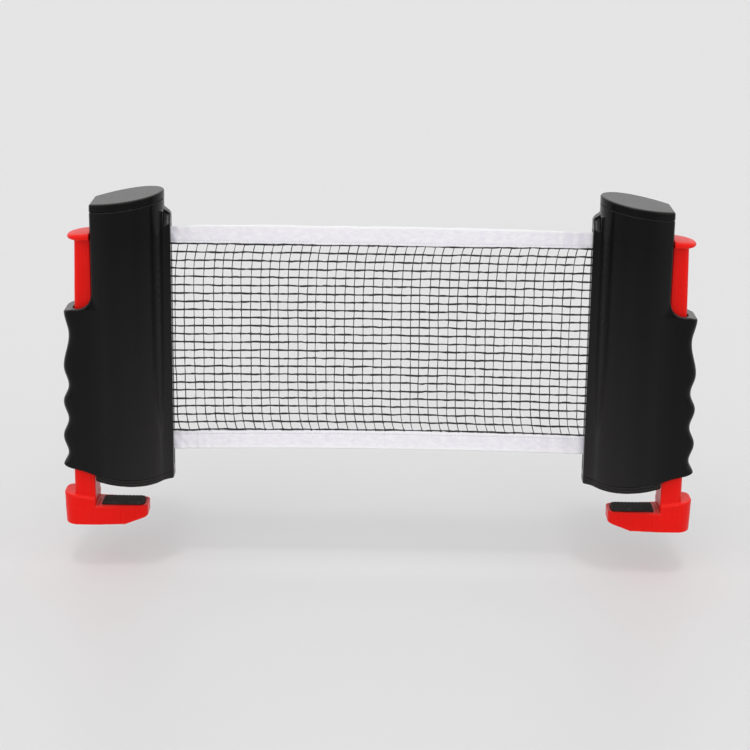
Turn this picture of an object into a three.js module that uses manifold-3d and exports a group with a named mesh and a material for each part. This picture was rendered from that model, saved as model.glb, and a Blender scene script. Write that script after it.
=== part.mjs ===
// Table tennis net set with two spring clamps: a post at each end of a retractable net.
// Millimetres, +Z up. X runs along the net, Y goes back, Z = 0 is the face that the posts stand on.
// The origin lies midway between the posts, in the plane of the net.
// Each post is drawn in its own coordinates: x = 0 is its flat outer wall and +x goes to the net.
// The right post is the mirror image of the left one.
import * as THREE from 'three';
import { mergeVertices } from 'three/addons/utils/BufferGeometryUtils.js';
import Module from 'manifold-3d';

const wasm = await Module();
wasm.setup();

// ---------------------------------------------------------------- general clearances
const fitGap = 0.3; // between pieces that seat on or in each other
const slideGap = 0.4; // between the sliding clamp rod and its channel
const overshoot = 2; // how far a cutting solid runs past what it cuts
const bite = 1; // how far solids of one piece run into each other

// ---------------------------------------------------------------- net
const visibleNet = 276.4; // net between the two slot lips
const netBottom = 19.2; // lower edge of the bottom tape at a post
const bottomTapeHeight = 12.8;
const netTop = 172.2; // upper edge of the top tape at a post
const topTapeHeight = 11;
const tapeRise = 1.8; // how far the tapes bow up at the middle of the net
const tapeThickness = 1.4;
const meshThickness = 1.0;
const meshColumns = 18;
const meshRows = 10;
const cordWidth = 1.1; // drawn width of a cord of the mesh

// ---------------------------------------------------------------- post body
const bodyLength = 47.5; // outer wall to the round inner end
const bodyHalfDepth = 26.5; // half of the depth where the body is widest
const outerWallHalf = 15; // half of the width of the flat outer wall
const widestAt = 25; // distance from the outer wall to the widest place
const wall = 2.2;
const baseTop = 4.4; // top of the base plate, where the housing starts
const capRise = 16.8; // top edge of the net to the top of the cap at the outer wall
const capSlope = 0.17; // rise of the cap for each millimetre towards the net
const capThickness = 5.3;
const capChamfer = 0.8;
const spigotDepth = 3.4; // rims of cap and base plate that enter the housing
const spigotWall = 1.5;

// ---------------------------------------------------------------- net slot and its lip
const lipLength = 4.3; // how far the lip stands out of the round inner end
const lipHalf = 5; // half of the thickness of the lip, where its hollow sides would run level
const lipBlendTurn = 30; // degrees round the inner end, from the net, to where those sides leave it
const lipChamfer = 1; // at the corners of the lip's end, in plan
const lipRise = 10.2; // top edge of the net to the top of the lip at its end
const shoulderRise = 3; // how much higher the lip meets the body
const lipCorner = 1.6; // slanted corner at the end of the lip's top
const shelfRise = 4.8; // top edge of the net to the top of the shorter front cheek
const shelfSweep = 2.2; // hollow sweep from the shoulder down to that top
const slotHalf = 1.2;
const slotBottom = 9;
const slotEndGap = 2; // slot above the top edge of the net

// ---------------------------------------------------------------- finger grip
const gripReachTop = 19; // outer wall to the topmost finger ridge
const gripReachBottom = 22; // outer wall to the lowest finger ridge
const gripHalf = 14.4; // half of the width of the grip
const gripCorner = 6.5; // radius of its outer corners
const ridgeHeights = [9.5, 30.5, 54.5, 79, 117];
const grooveHeights = [18.5, 42, 65.5, 100];
const grooveDepth = 3.3;
const collarHeight = 118.5; // rim where the clamp rod enters
const collarFillet = 10.5; // hollow sweep from the rim up to the outer wall
const gripTailRise = 5.4; // how far the underside climbs from the wall to the lowest ridge
const gripSteps = 3; // sections between a ridge and a groove

// ---------------------------------------------------------------- clamp rod and its spring
const rodReachTop = 11; // outer wall to the outer face of the rod, under the thumb plate
const rodReach = 12.6; // the same where the rod enters the grip, and below
const rodTaperEnd = 100; // height below which the rod no longer widens
const rodHalf = 9;
const rodCorner = 3;
const rodWallGap = 0.5; // rod to the outer wall of the post
const thumbTop = 169.1;
const thumbThickness = 4.6;
const thumbReach = 16.5;
const thumbHalf = 13.6;
const thumbRim = 1.7; // rounding of the rim of the thumb plate
const springWire = 1.2;
const springRadius = 2.9; // mean radius of the clamp spring
const springCurls = 8;
const lugRoom = 4; // neck to lug in the closed place
const springLength = 48;
const lugHeight = 4;
const closingTravel = 16; // upward travel of the clamp from the drawn place
const stopGap = 0.5;

// ---------------------------------------------------------------- jaw
const clampOpening = 17; // base pad to jaw pad in the drawn place
const neckReach = 15; // outer wall to the outer face of the neck
const neckHalf = 11.7;
const neckCorner = 4.5;
const neckTop = 42;
const neckWallGap = 0.6;
const jawReach = 22.5; // outer wall to the outer end of the jaw
const jawHalf = 13.8;
const jawCorner = 10;
const crestRise = 7.2; // jaw pad to the top of the jaw's outer end
const jawDip = 3.2; // how far that top falls towards the neck
const jawDepth = 15; // jaw pad to the underside of the jaw
const jawDraft = 1; // how far the jaw narrows on each side towards its bottom
const armReach = 34; // outer wall to the tip of the arm under the table
const armBend = 18.7; // outer wall to where the underside of the arm starts to climb
const armTipHalf = 10.5;
const armTipDepth = 9.5; // jaw pad to the underside of the arm's tip
const armWall = 2.2;
const padThickness = 2.1;
const padRecess = 0.8; // depth of the seat of the jaw pad
const padInset = 2.6; // edge of the arm to the edge of the pad's seat
const padStart = 3; // outer wall to the near edge of the jaw pad
const tongueLength = 14; // tongue of the rod inside the neck
const tongueHalf = 6;
const tongueThickness = 6;
const pinRadius = 1.5; // cross pin that joins rod and neck

// ---------------------------------------------------------------- base plate
const baseRim = 0.2; // underside of the plate's rim
const basePadThickness = 2;
const basePadInset = 3; // edge of the plate to the edge of the pad's seat
const screwHeadRadius = 2.4;
const screwHeadHeight = 1.9;
const screwRadius = 1.4;
const screwTop = 13.5;
const screwBossRadius = 3.5;
const plateBossTop = 8;
const housingBossTop = 14.5;
const screwSpread = 8; // widest place of the body to the two inner screws
const bossBite = 0.4; // how far a screw boss runs into the wall beside it

// ---------------------------------------------------------------- reel and anchor bar
const spindleRadius = 3;
const endGap = 1.5; // end of spindle or bar to the cap
const socketWall = 2.2;
const tubeRadius = 8;
const tubeWall = 1.6;
const tubeBottom = 12;
const tubeOverhang = 7.8; // tube above the top edge of the net
const flangeHeight = 15;
const flangeThickness = 1.5;
const bushFlange = 2;
const bushLength = 9;
const bushGap = 0.35; // running gap between bush and spindle
const rollGap = 2.15; // full roll to the walls round it
const rollTurns = 6;
const rollThickness = 1.2;
const leadThickness = 0.8; // net between the slot and the roll
const coilWire = 0.9; // retraction spring
const coilRadius = 5.2;
const coilCurls = 9;
const coilInset = 12; // ends of the tube to the ends of the retraction spring
const barRadius = 4.5;
const barGap = 4.8; // anchor bar to the inner wall

// ---------------------------------------------------------------- what follows from these
const lipReach = bodyLength + lipLength; // outer wall to the end of the slot lip
const lipRoot = (widestAt + bodyLength) / 2; // where the drawn lip starts, inside the body
const lipTop = netTop + lipRise;
const lipShoulder = lipTop + shoulderRise;
const lipShelf = netTop + shelfRise;
const slotTop = netTop + slotEndGap;
const capTop = netTop + capRise;
const postX = visibleNet / 2 + lipReach;
const basePadTop = basePadThickness;
const housingBottom = baseTop + fitGap;
const capUnder = capTop - capThickness; // underside of the cap at the outer wall
const housingTop = capUnder - fitGap;
const cavityEnd = bodyLength - wall;
const jawPadTop = -clampOpening;
const jawCrest = jawPadTop + crestRise;
const jawBottom = jawPadTop - jawDepth;
const armTop = jawPadTop - padThickness - fitGap + padRecess;
const armTipBottom = jawPadTop - armTipDepth;
const springFloor = neckTop + closingTravel + lugRoom + lugHeight; // top of the lug under the spring
const pinHeight = neckTop - tongueLength / 2;
const pinHalf = neckHalf - 2 * fitGap;
const screwX = widestAt + screwSpread;
const screwFlank = bodyHalfDepth * Math.sqrt(1 - (screwSpread / (bodyLength - widestAt)) ** 2);
const screwY = screwFlank - wall - screwBossRadius + bossBite;
const screwPlaces = [[wall + screwBossRadius - bossBite, 0], [screwX, screwY], [screwX, -screwY]];
const reelCentre = (wall + cavityEnd) / 2; // outer wall to the axis of the reel
const rollRadius = (cavityEnd - wall) / 2 - rollGap;
const flangeRadius = rollRadius - fitGap;
const tubeTop = netTop + tubeOverhang;
const barCentre = cavityEnd - barGap - barRadius; // outer wall to the axis of the anchor bar
const axleBottom = basePadTop + 3 * fitGap; // spindle and bar stand in the base plate
const spindleTop = capUnder + capSlope * reelCentre - endGap;
const barTop = capUnder + capSlope * barCentre - endGap;
const netStart = cavityEnd - slotHalf / 2; // outer wall to the place where the net turns to the roll
const tongueMiddle = -(rodReach + rodWallGap) / 2;
const barDepth = barRadius / 2; // how far the net enters the anchor bar
const plateSocketTop = tubeBottom - bushFlange - 2 * fitGap; // the sockets end clear of the bushes
const capSocketBottom = tubeTop + bushFlange + 2 * fitGap;
const leadRadius = rollRadius + fitGap + leadThickness / 2; // the lead touches this circle round the reel
const leadAngle = Math.acos(leadRadius / (netStart - reelCentre)); // where it does, from the slot's side

// ---------------------------------------------------------------- finishes
function finish(color, roughness, metalness = 0) {
  return new THREE.MeshStandardMaterial({ color, roughness, metalness });
}

const blackPlastic = finish(0x1f1e1e, 0.45);
const redPlastic = finish(0xdd261c, 0.35);
const softRubber = finish(0x2a2a2b, 0.9);
const steel = finish(0xa9abad, 0.35, 1);
const paleNylon = finish(0xd8d5cb, 0.5);
const whiteTape = finish(0xeeecf4, 0.9);
const netCord = finish(0x1d1c1e, 0.8);

// ---------------------------------------------------------------- solids and their joins
function solid(geometry) {
  const bare = geometry.clone();
  bare.deleteAttribute('normal');
  bare.deleteAttribute('uv');
  const merged = mergeVertices(bare, 1e-5);
  return new wasm.Manifold(new wasm.Mesh({
    numProp: 3,
    vertProperties: new Float32Array(merged.attributes.position.array),
    triVerts: new Uint32Array(merged.index.array),
  }));
}

const join = (...parts) => parts.reduce((sum, part) => sum.add(part));

const cut = (body, ...tools) => tools.reduce((rest, tool) => rest.subtract(tool), body);

function geometryOf(body) {
  const mesh = body.getMesh();
  const geometry = new THREE.BufferGeometry();
  geometry.setAttribute('position', new THREE.BufferAttribute(new Float32Array(mesh.vertProperties), 3));
  geometry.setIndex(new THREE.BufferAttribute(new Uint32Array(mesh.triVerts), 1));
  return geometry;
}

// A prism on a plan outline, from one height to another.
function upright(shape, from, to, curveSegments = 6) {
  const geometry = new THREE.ExtrudeGeometry(shape, { depth: to - from, bevelEnabled: false, curveSegments });
  return geometry.translate(0, 0, from);
}

// A prism on a side outline drawn in x and z, from the front (-y) to the back.
function across(shape, half, curveSegments = 8) {
  const geometry = new THREE.ExtrudeGeometry(shape, { depth: 2 * half, bevelEnabled: false, curveSegments });
  return geometry.rotateX(Math.PI / 2).translate(0, half, 0);
}

function block(x0, x1, y0, y1, z0, z1) {
  const geometry = new THREE.BoxGeometry(x1 - x0, y1 - y0, z1 - z0);
  return geometry.translate((x0 + x1) / 2, (y0 + y1) / 2, (z0 + z1) / 2);
}

function rod(x, y, radius, from, to, segments = 20) {
  const geometry = new THREE.CylinderGeometry(radius, radius, to - from, segments);
  return geometry.rotateX(Math.PI / 2).translate(x, y, (from + to) / 2);
}

function outline(points) {
  const shape = new THREE.Shape();
  points.forEach(([x, y], index) => (index ? shape.lineTo(x, y) : shape.moveTo(x, y)));
  shape.closePath();
  return shape;
}

// A ring or stepped bush about the vertical axis at x; points are [radius, height].
function turned(x, points, segments = 20) {
  const closed = [...points, points[0]].map(([radius, height]) => new THREE.Vector2(radius, height));
  const geometry = new THREE.LatheGeometry(closed, segments);
  return geometry.rotateX(Math.PI / 2).translate(x, 0, 0);
}

// Tilts a level solid so that it rises towards the net as the cap does.
function sloped(geometry) {
  const tilt = new THREE.Matrix4().set(1, 0, 0, 0, 0, 1, 0, 0, capSlope, 0, 1, 0, 0, 0, 0, 1);
  return geometry.applyMatrix4(tilt);
}

// ---------------------------------------------------------------- outlines
// The post in plan: flat outer wall, bulging flanks and a round inner end.
function bodyOutline(inset) {
  const half = bodyHalfDepth - inset;
  const shape = new THREE.Shape();
  shape.moveTo(inset, inset - outerWallHalf);
  shape.quadraticCurveTo((inset + widestAt) / 2, -half, widestAt, -half);
  shape.absellipse(widestAt, 0, bodyLength - widestAt - inset, half, -Math.PI / 2, Math.PI / 2, false, 0);
  shape.quadraticCurveTo((inset + widestAt) / 2, half, inset, outerWallHalf - inset);
  shape.closePath();
  return shape;
}

// The slot lip in plan. Each side is one hollow arc: it leaves the round inner end at a tangent and
// would run level at half the lip's thickness, but the lip ends before that.
function lipOutline() {
  const turn = THREE.MathUtils.degToRad(lipBlendTurn);
  const along = bodyLength - widestAt;
  const start = new THREE.Vector2(widestAt + along * Math.cos(turn), bodyHalfDepth * Math.sin(turn));
  const normal = new THREE.Vector2(Math.cos(turn) / along, Math.sin(turn) / bodyHalfDepth).normalize();
  const radius = (start.y - lipHalf) / (1 - normal.y);
  const centre = start.clone().addScaledVector(normal, radius);
  const cornerTurn = Math.acos((lipReach - lipChamfer - centre.x) / radius);
  const startTurn = Math.atan2(-normal.y, -normal.x);
  const endHalf = centre.y - radius * Math.sin(cornerTurn);
  const shape = new THREE.Shape();
  shape.moveTo(lipRoot, -start.y);
  shape.lineTo(start.x, -start.y);
  shape.absarc(centre.x, -centre.y, radius, -startTurn, cornerTurn, true);
  shape.lineTo(lipReach, lipChamfer - endHalf);
  shape.lineTo(lipReach, endHalf - lipChamfer);
  shape.absarc(centre.x, centre.y, radius, -cornerTurn, startTurn, true);
  shape.lineTo(lipRoot, start.y);
  shape.closePath();
  return shape;
}

// A bar in plan whose two outer corners are rounded; x runs from outer to inner.
function roundedBar(outer, inner, half, radius) {
  const shape = new THREE.Shape();
  shape.moveTo(inner, -half);
  shape.lineTo(inner, half);
  shape.lineTo(outer + radius, half);
  shape.absarc(outer + radius, half - radius, radius, Math.PI / 2, Math.PI, false);
  shape.absarc(outer + radius, radius - half, radius, Math.PI, 1.5 * Math.PI, false);
  shape.closePath();
  return shape;
}

// ---------------------------------------------------------------- wound and coiled forms
// A closed tube through rings of points; rings all have the same number of sides.
function tubeOfRings(rings) {
  const sides = rings[0].length;
  const positions = rings.flat().flatMap((point) => [point.x, point.y, point.z]);
  const index = [];
  for (let ring = 0; ring + 1 < rings.length; ring += 1) {
    for (let side = 0; side < sides; side += 1) {
      const next = (side + 1) % sides;
      const a = ring * sides + side;
      const b = ring * sides + next;
      index.push(a, b, b + sides, a, b + sides, a + sides);
    }
  }
  const last = (rings.length - 1) * sides;
  for (let side = 1; side + 1 < sides; side += 1) {
    index.push(0, side + 1, side);
    index.push(last, last + side, last + side + 1);
  }
  const geometry = new THREE.BufferGeometry();
  geometry.setAttribute('position', new THREE.Float32BufferAttribute(positions, 3));
  geometry.setIndex(index);
  return geometry;
}

// The least free space between a wire and its own next curl, measured on the points of its middle line.
function leastGap(path, stepsPerCurl, wire) {
  let least = Infinity;
  for (let i = 0; i < path.length; i += 1) {
    for (let j = i + stepsPerCurl / 2; j < path.length; j += 1) {
      least = Math.min(least, path[i].distanceTo(path[j]) - wire);
    }
  }
  return least;
}

// A coil spring about the vertical axis at x, of 8 steps a curl and 5 sides.
function coilSpring(name, x, from, to, radius, wire, curls) {
  const stepsPerCurl = 8;
  const sides = 5;
  const bottom = from + wire / 2;
  const rise = to - from - wire;
  const path = [];
  const rings = [];
  for (let step = 0; step <= curls * stepsPerCurl; step += 1) {
    const share = step / (curls * stepsPerCurl);
    const turn = share * curls * 2 * Math.PI;
    const outward = new THREE.Vector3(Math.cos(turn), Math.sin(turn), 0);
    const forward = new THREE.Vector3(-Math.sin(turn), Math.cos(turn), rise / (curls * 2 * Math.PI * radius));
    const upward = forward.normalize().cross(outward);
    const centre = outward.clone().multiplyScalar(radius).add(new THREE.Vector3(x, 0, bottom + rise * share));
    const ring = [];
    for (let side = 0; side < sides; side += 1) {
      const angle = (side / sides) * 2 * Math.PI;
      const point = centre.clone().addScaledVector(outward, (Math.cos(angle) * wire) / 2);
      ring.push(point.addScaledVector(upward, (Math.sin(angle) * wire) / 2));
    }
    path.push(centre);
    rings.push(ring);
  }
  console.log(`${name}: least gap to itself ${leastGap(path, stepsPerCurl, wire).toFixed(2)} mm`);
  return tubeOfRings(rings);
}

// ---------------------------------------------------------------- housing
// Outer wall to the skin of the grip: ridges between the fingers, grooves for them.
function gripReach(height) {
  const lowest = ridgeHeights[0];
  const highest = ridgeHeights[ridgeHeights.length - 1];
  const share = (height - lowest) / (highest - lowest);
  const ridge = gripReachBottom + (gripReachTop - gripReachBottom) * share;
  const index = ridgeHeights.findIndex((_, k) => k && height <= ridgeHeights[k]);
  if (height <= lowest || index < 1) return ridge;
  const groove = grooveHeights[index - 1];
  const side = height < groove ? ridgeHeights[index - 1] : ridgeHeights[index];
  const depth = (height - side) / (groove - side);
  return ridge - grooveDepth * Math.sin((depth * Math.PI) / 2) ** 2;
}

function gripHeights() {
  const stops = [0];
  ridgeHeights.forEach((ridge, k) => {
    stops.push(ridge);
    if (k < grooveHeights.length) stops.push(grooveHeights[k]);
  });
  const heights = stops.flatMap((stop, k) => {
    if (k < 2) return [stop];
    const before = stops[k - 1];
    return Array.from({ length: gripSteps }, (_, n) => before + ((stop - before) * (n + 1)) / gripSteps);
  });
  return [...heights, collarHeight + collarFillet + overshoot];
}

function gripBlock() {
  const inner = wall; // the grip runs into the outer wall of the post
  const arcSteps = 3;
  const rings = gripHeights().map((height) => {
    const reach = gripReach(height);
    const ring = [new THREE.Vector3(inner, gripHalf, height)];
    for (const sign of [1, -1]) {
      for (let k = 0; k <= arcSteps; k += 1) {
        const turn = ((sign > 0 ? k : arcSteps - k) / arcSteps) * (Math.PI / 2);
        const x = -(reach - gripCorner + gripCorner * Math.sin(turn));
        const y = sign * (gripHalf - gripCorner + gripCorner * Math.cos(turn));
        ring.push(new THREE.Vector3(x, y, height));
      }
    }
    ring.push(new THREE.Vector3(inner, -gripHalf, height));
    return ring;
  });
  return solid(tubeOfRings(rings));
}

// The grip from the side: climbing underside, rim round the rod, hollow sweep up to the wall.
function gripSide() {
  const far = -gripReachBottom - overshoot;
  const tipTop = ridgeHeights[ridgeHeights.length - 1];
  const shape = new THREE.Shape();
  shape.moveTo(wall, housingBottom);
  shape.lineTo(0, housingBottom);
  shape.lineTo(-gripReachBottom, housingBottom + gripTailRise);
  shape.lineTo(far, housingBottom + gripTailRise);
  shape.lineTo(far, tipTop);
  shape.lineTo(-gripReachTop, tipTop);
  shape.lineTo(-rodReach - 2 * slideGap, collarHeight);
  shape.lineTo(-collarFillet, collarHeight);
  shape.absarc(-collarFillet, collarHeight + collarFillet, collarFillet, -Math.PI / 2, 0, false);
  shape.lineTo(wall, collarHeight + collarFillet);
  shape.closePath();
  return solid(across(shape, gripHalf + overshoot, 6));
}

function lipSolid() {
  const side = outline([
    [lipRoot, housingBottom],
    [lipReach + overshoot, housingBottom],
    [lipReach + overshoot, lipTop - lipCorner],
    [lipReach, lipTop - lipCorner],
    [lipReach - lipCorner, lipTop],
    [bodyLength, lipShoulder],
    [lipRoot, lipShoulder],
  ]);
  const whole = solid(upright(lipOutline(), housingBottom, lipShoulder + overshoot, 3));
  const shaped = whole.intersect(solid(across(side, bodyHalfDepth)));
  const shelf = new THREE.Shape();
  const shelfStart = bodyLength + fitGap;
  shelf.moveTo(shelfStart, lipShelf + shelfSweep);
  shelf.quadraticCurveTo(shelfStart, lipShelf, shelfStart + shelfSweep, lipShelf);
  shelf.lineTo(lipReach + overshoot, lipShelf);
  shelf.lineTo(lipReach + overshoot, lipShoulder + overshoot);
  shelf.lineTo(shelfStart, lipShoulder + overshoot);
  shelf.closePath();
  const front = across(shelf, bodyHalfDepth, 4).translate(0, -bodyHalfDepth - slotHalf, 0);
  return cut(shaped, solid(front));
}

function housing() {
  const roof = block(-2 * jawReach, 2 * lipReach, -2 * bodyHalfDepth, 2 * bodyHalfDepth, 0, housingTop);
  const shell = solid(upright(bodyOutline(0), housingBottom, capTop + bodyLength * capSlope));
  const grip = gripBlock().intersect(gripSide());
  const outside = join(shell.intersect(solid(sloped(roof))), lipSolid(), grip);
  const rodRoom = roundedBar(-rodReach - slideGap, 0, rodHalf + slideGap, rodCorner);
  const neckRoom = roundedBar(-neckReach - slideGap, 0, neckHalf + slideGap, neckCorner);
  const neckRoomTop = neckTop + closingTravel + overshoot;
  const open = cut(
    outside,
    solid(upright(bodyOutline(wall), 0, capTop + bodyLength)),
    solid(block(cavityEnd - overshoot, lipReach + overshoot, -slotHalf, slotHalf, slotBottom, slotTop)),
    solid(upright(rodRoom, 0, capTop, 4)),
    solid(upright(neckRoom, 0, neckRoomTop, 4)),
  );
  const lugReach = rodWallGap + fitGap + 2 * springRadius + springWire / 2;
  const lug = block(-lugReach, wall / 2, -springRadius, springRadius, springFloor - lugHeight, springFloor);
  const bosses = screwPlaces.map(([x, y]) => {
    const post = solid(rod(x, y, screwBossRadius, plateBossTop + fitGap, housingBossTop, 16));
    return post.intersect(solid(upright(bodyOutline(wall / 2), 0, capTop)));
  });
  const holes = screwPlaces.map(([x, y]) => {
    const hole = rod(x, y, screwRadius + fitGap, 0, housingBossTop + overshoot, 10);
    return solid(hole);
  });
  return cut(join(open, solid(lug), ...bosses), ...holes);
}

// ---------------------------------------------------------------- cap and base plate
function ringWall(inset, thickness, from, to) {
  const outer = solid(upright(bodyOutline(inset), from, to, 4));
  return outer.subtract(solid(upright(bodyOutline(inset + thickness), from - overshoot, to + overshoot, 4)));
}

// The cap is made level, with a chamfered top edge, and then tilted.
function levelCap() {
  const depth = capThickness + overshoot - 2 * capChamfer;
  const geometry = new THREE.ExtrudeGeometry(bodyOutline(capChamfer), {
    depth,
    bevelEnabled: true,
    bevelThickness: capChamfer,
    bevelSize: capChamfer,
    bevelSegments: 1,
    curveSegments: 6,
  });
  geometry.translate(0, 0, capUnder - overshoot + capChamfer);
  const aside = 2 * bodyHalfDepth;
  const above = block(-overshoot, 2 * bodyLength, -aside, aside, capUnder, 2 * capTop);
  return solid(geometry).intersect(solid(above));
}

function topCap(socketX, socketRadius) {
  const rim = ringWall(wall + fitGap, spigotWall, capUnder - spigotDepth, capUnder + bite);
  const level = join(levelCap(), rim);
  const cap = solid(sloped(geometryOf(level)));
  const underside = capUnder + capSlope * socketX;
  const holeRadius = socketRadius + fitGap;
  const bossTop = underside + capThickness / 2;
  const boss = rod(socketX, 0, holeRadius + socketWall, capSocketBottom, bossTop, 20);
  const hole = rod(socketX, 0, holeRadius, capSocketBottom - overshoot, underside, 20);
  return cut(join(cap, solid(boss)), solid(hole));
}

function basePlate(socketX, socketRadius) {
  const plate = join(
    solid(upright(bodyOutline(0), baseRim, baseTop)),
    solid(upright(lipOutline(), baseRim, baseTop, 3)),
  );
  const seatTop = basePadTop + fitGap;
  const rim = ringWall(wall + fitGap, spigotWall, baseTop - bite, baseTop + spigotDepth);
  const holeRadius = socketRadius + fitGap;
  const socket = rod(socketX, 0, holeRadius + socketWall, baseTop - bite, plateSocketTop, 20);
  const bosses = screwPlaces.map(([x, y]) => {
    const post = solid(rod(x, y, screwBossRadius, baseTop - bite, plateBossTop, 16));
    return post.intersect(solid(upright(bodyOutline(wall + fitGap), 0, capTop)));
  });
  const whole = join(plate, rim, solid(socket), ...bosses);
  const headTop = seatTop + fitGap + screwHeadHeight + fitGap;
  const holes = screwPlaces.flatMap(([x, y]) => [
    solid(rod(x, y, screwRadius + fitGap, 0, plateBossTop + overshoot, 10)),
    solid(rod(x, y, screwHeadRadius + fitGap, 0, headTop, 12)),
  ]);
  const seat = solid(upright(bodyOutline(basePadInset), -overshoot, seatTop, 4));
  const bore = solid(rod(socketX, 0, holeRadius, seatTop + fitGap, plateSocketTop + overshoot, 20));
  return cut(whole, seat, bore, ...holes);
}

const basePad = () => solid(upright(bodyOutline(basePadInset + fitGap), 0, basePadTop, 4));

function baseScrew([x, y]) {
  const headBottom = basePadTop + 2 * fitGap;
  const head = rod(x, y, screwHeadRadius, headBottom, headBottom + screwHeadHeight, 10);
  return join(solid(head), solid(rod(x, y, screwRadius, headBottom + bite, screwTop, 8)));
}

// ---------------------------------------------------------------- clamp
// The rod widens from the thumb plate down to the grip: its section is stretched level by level.
function rodStem(from, to) {
  const levels = [from, rodTaperEnd, to].map((height, k) => {
    const reach = k === 2 ? rodReachTop : rodReach;
    const section = roundedBar(-reach, -rodWallGap, rodHalf, rodCorner).extractPoints(4).shape.slice(0, -1);
    return section.map(({ x, y }) => new THREE.Vector3(x, y, height));
  });
  return solid(tubeOfRings(levels));
}

function pushRod() {
  const under = thumbTop - thumbThickness;
  const stem = rodStem(neckTop + fitGap, under + bite);
  const plan = new THREE.Shape();
  const inner = overshoot;
  plan.moveTo(inner, thumbRim - thumbHalf);
  plan.lineTo(inner, thumbHalf - thumbRim);
  plan.lineTo(-thumbReach / 3, thumbHalf - thumbRim);
  plan.absellipse(
    -thumbReach / 3, 0, thumbReach * (2 / 3) - thumbRim, thumbHalf - thumbRim,
    Math.PI / 2, 1.5 * Math.PI, false, 0,
  );
  plan.closePath();
  const plate = new THREE.ExtrudeGeometry(plan, {
    depth: thumbThickness - 2 * thumbRim,
    bevelEnabled: true,
    bevelThickness: thumbRim,
    bevelSize: thumbRim,
    bevelSegments: 2,
    curveSegments: 6,
  });
  plate.translate(0, 0, under + thumbRim);
  const outside = block(-2 * thumbReach, -rodWallGap, -2 * thumbHalf, 2 * thumbHalf, 0, 2 * thumbTop);
  const pocketBack = springRadius + springWire / 2 + slideGap;
  const springX = -rodWallGap - fitGap - springRadius - springWire / 2;
  const pocketBottom = springFloor - lugHeight - closingTravel - stopGap;
  const pocketTop = springFloor + springLength;
  const pocket = block(springX - pocketBack, overshoot, -pocketBack, pocketBack, pocketBottom, pocketTop);
  const tongueFront = tongueMiddle - tongueThickness / 2;
  const tongueBottom = neckTop - tongueLength;
  const tongue = block(
    tongueFront, tongueFront + tongueThickness, -tongueHalf, tongueHalf, tongueBottom, neckTop + bite,
  );
  const body = join(stem, solid(plate).intersect(solid(outside)), solid(tongue));
  const pinHole = rod(0, 0, pinRadius + fitGap, -rodHalf, rodHalf, 8);
  pinHole.rotateX(Math.PI / 2).translate(tongueMiddle, 0, pinHeight);
  return cut(body, solid(pocket), solid(pinHole));
}

function clampSpring(name) {
  const springX = -rodWallGap - fitGap - springRadius - springWire / 2;
  const top = springFloor + springLength - fitGap;
  return solid(coilSpring(name, springX, springFloor + fitGap, top, springRadius, springWire, springCurls));
}

// The jaw in plan: rounded outer end, arm narrowing to a rounded tip.
function jawPlan(inset) {
  const half = jawHalf - inset;
  const tipHalf = armTipHalf - inset;
  const tip = armReach - inset;
  const tipCorner = 4;
  const shape = new THREE.Shape();
  shape.moveTo(-neckWallGap, half);
  shape.lineTo(jawCorner - jawReach + inset, half);
  shape.absarc(jawCorner - jawReach + inset, half - jawCorner, jawCorner, Math.PI / 2, Math.PI, false);
  shape.absarc(jawCorner - jawReach + inset, jawCorner - half, jawCorner, Math.PI, 1.5 * Math.PI, false);
  shape.lineTo(-neckWallGap, -half);
  shape.lineTo(tip - tipCorner, -tipHalf);
  shape.absarc(tip - tipCorner, tipCorner - tipHalf, tipCorner, -Math.PI / 2, 0, false);
  shape.absarc(tip - tipCorner, tipHalf - tipCorner, tipCorner, 0, Math.PI / 2, false);
  shape.closePath();
  return shape;
}

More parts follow.
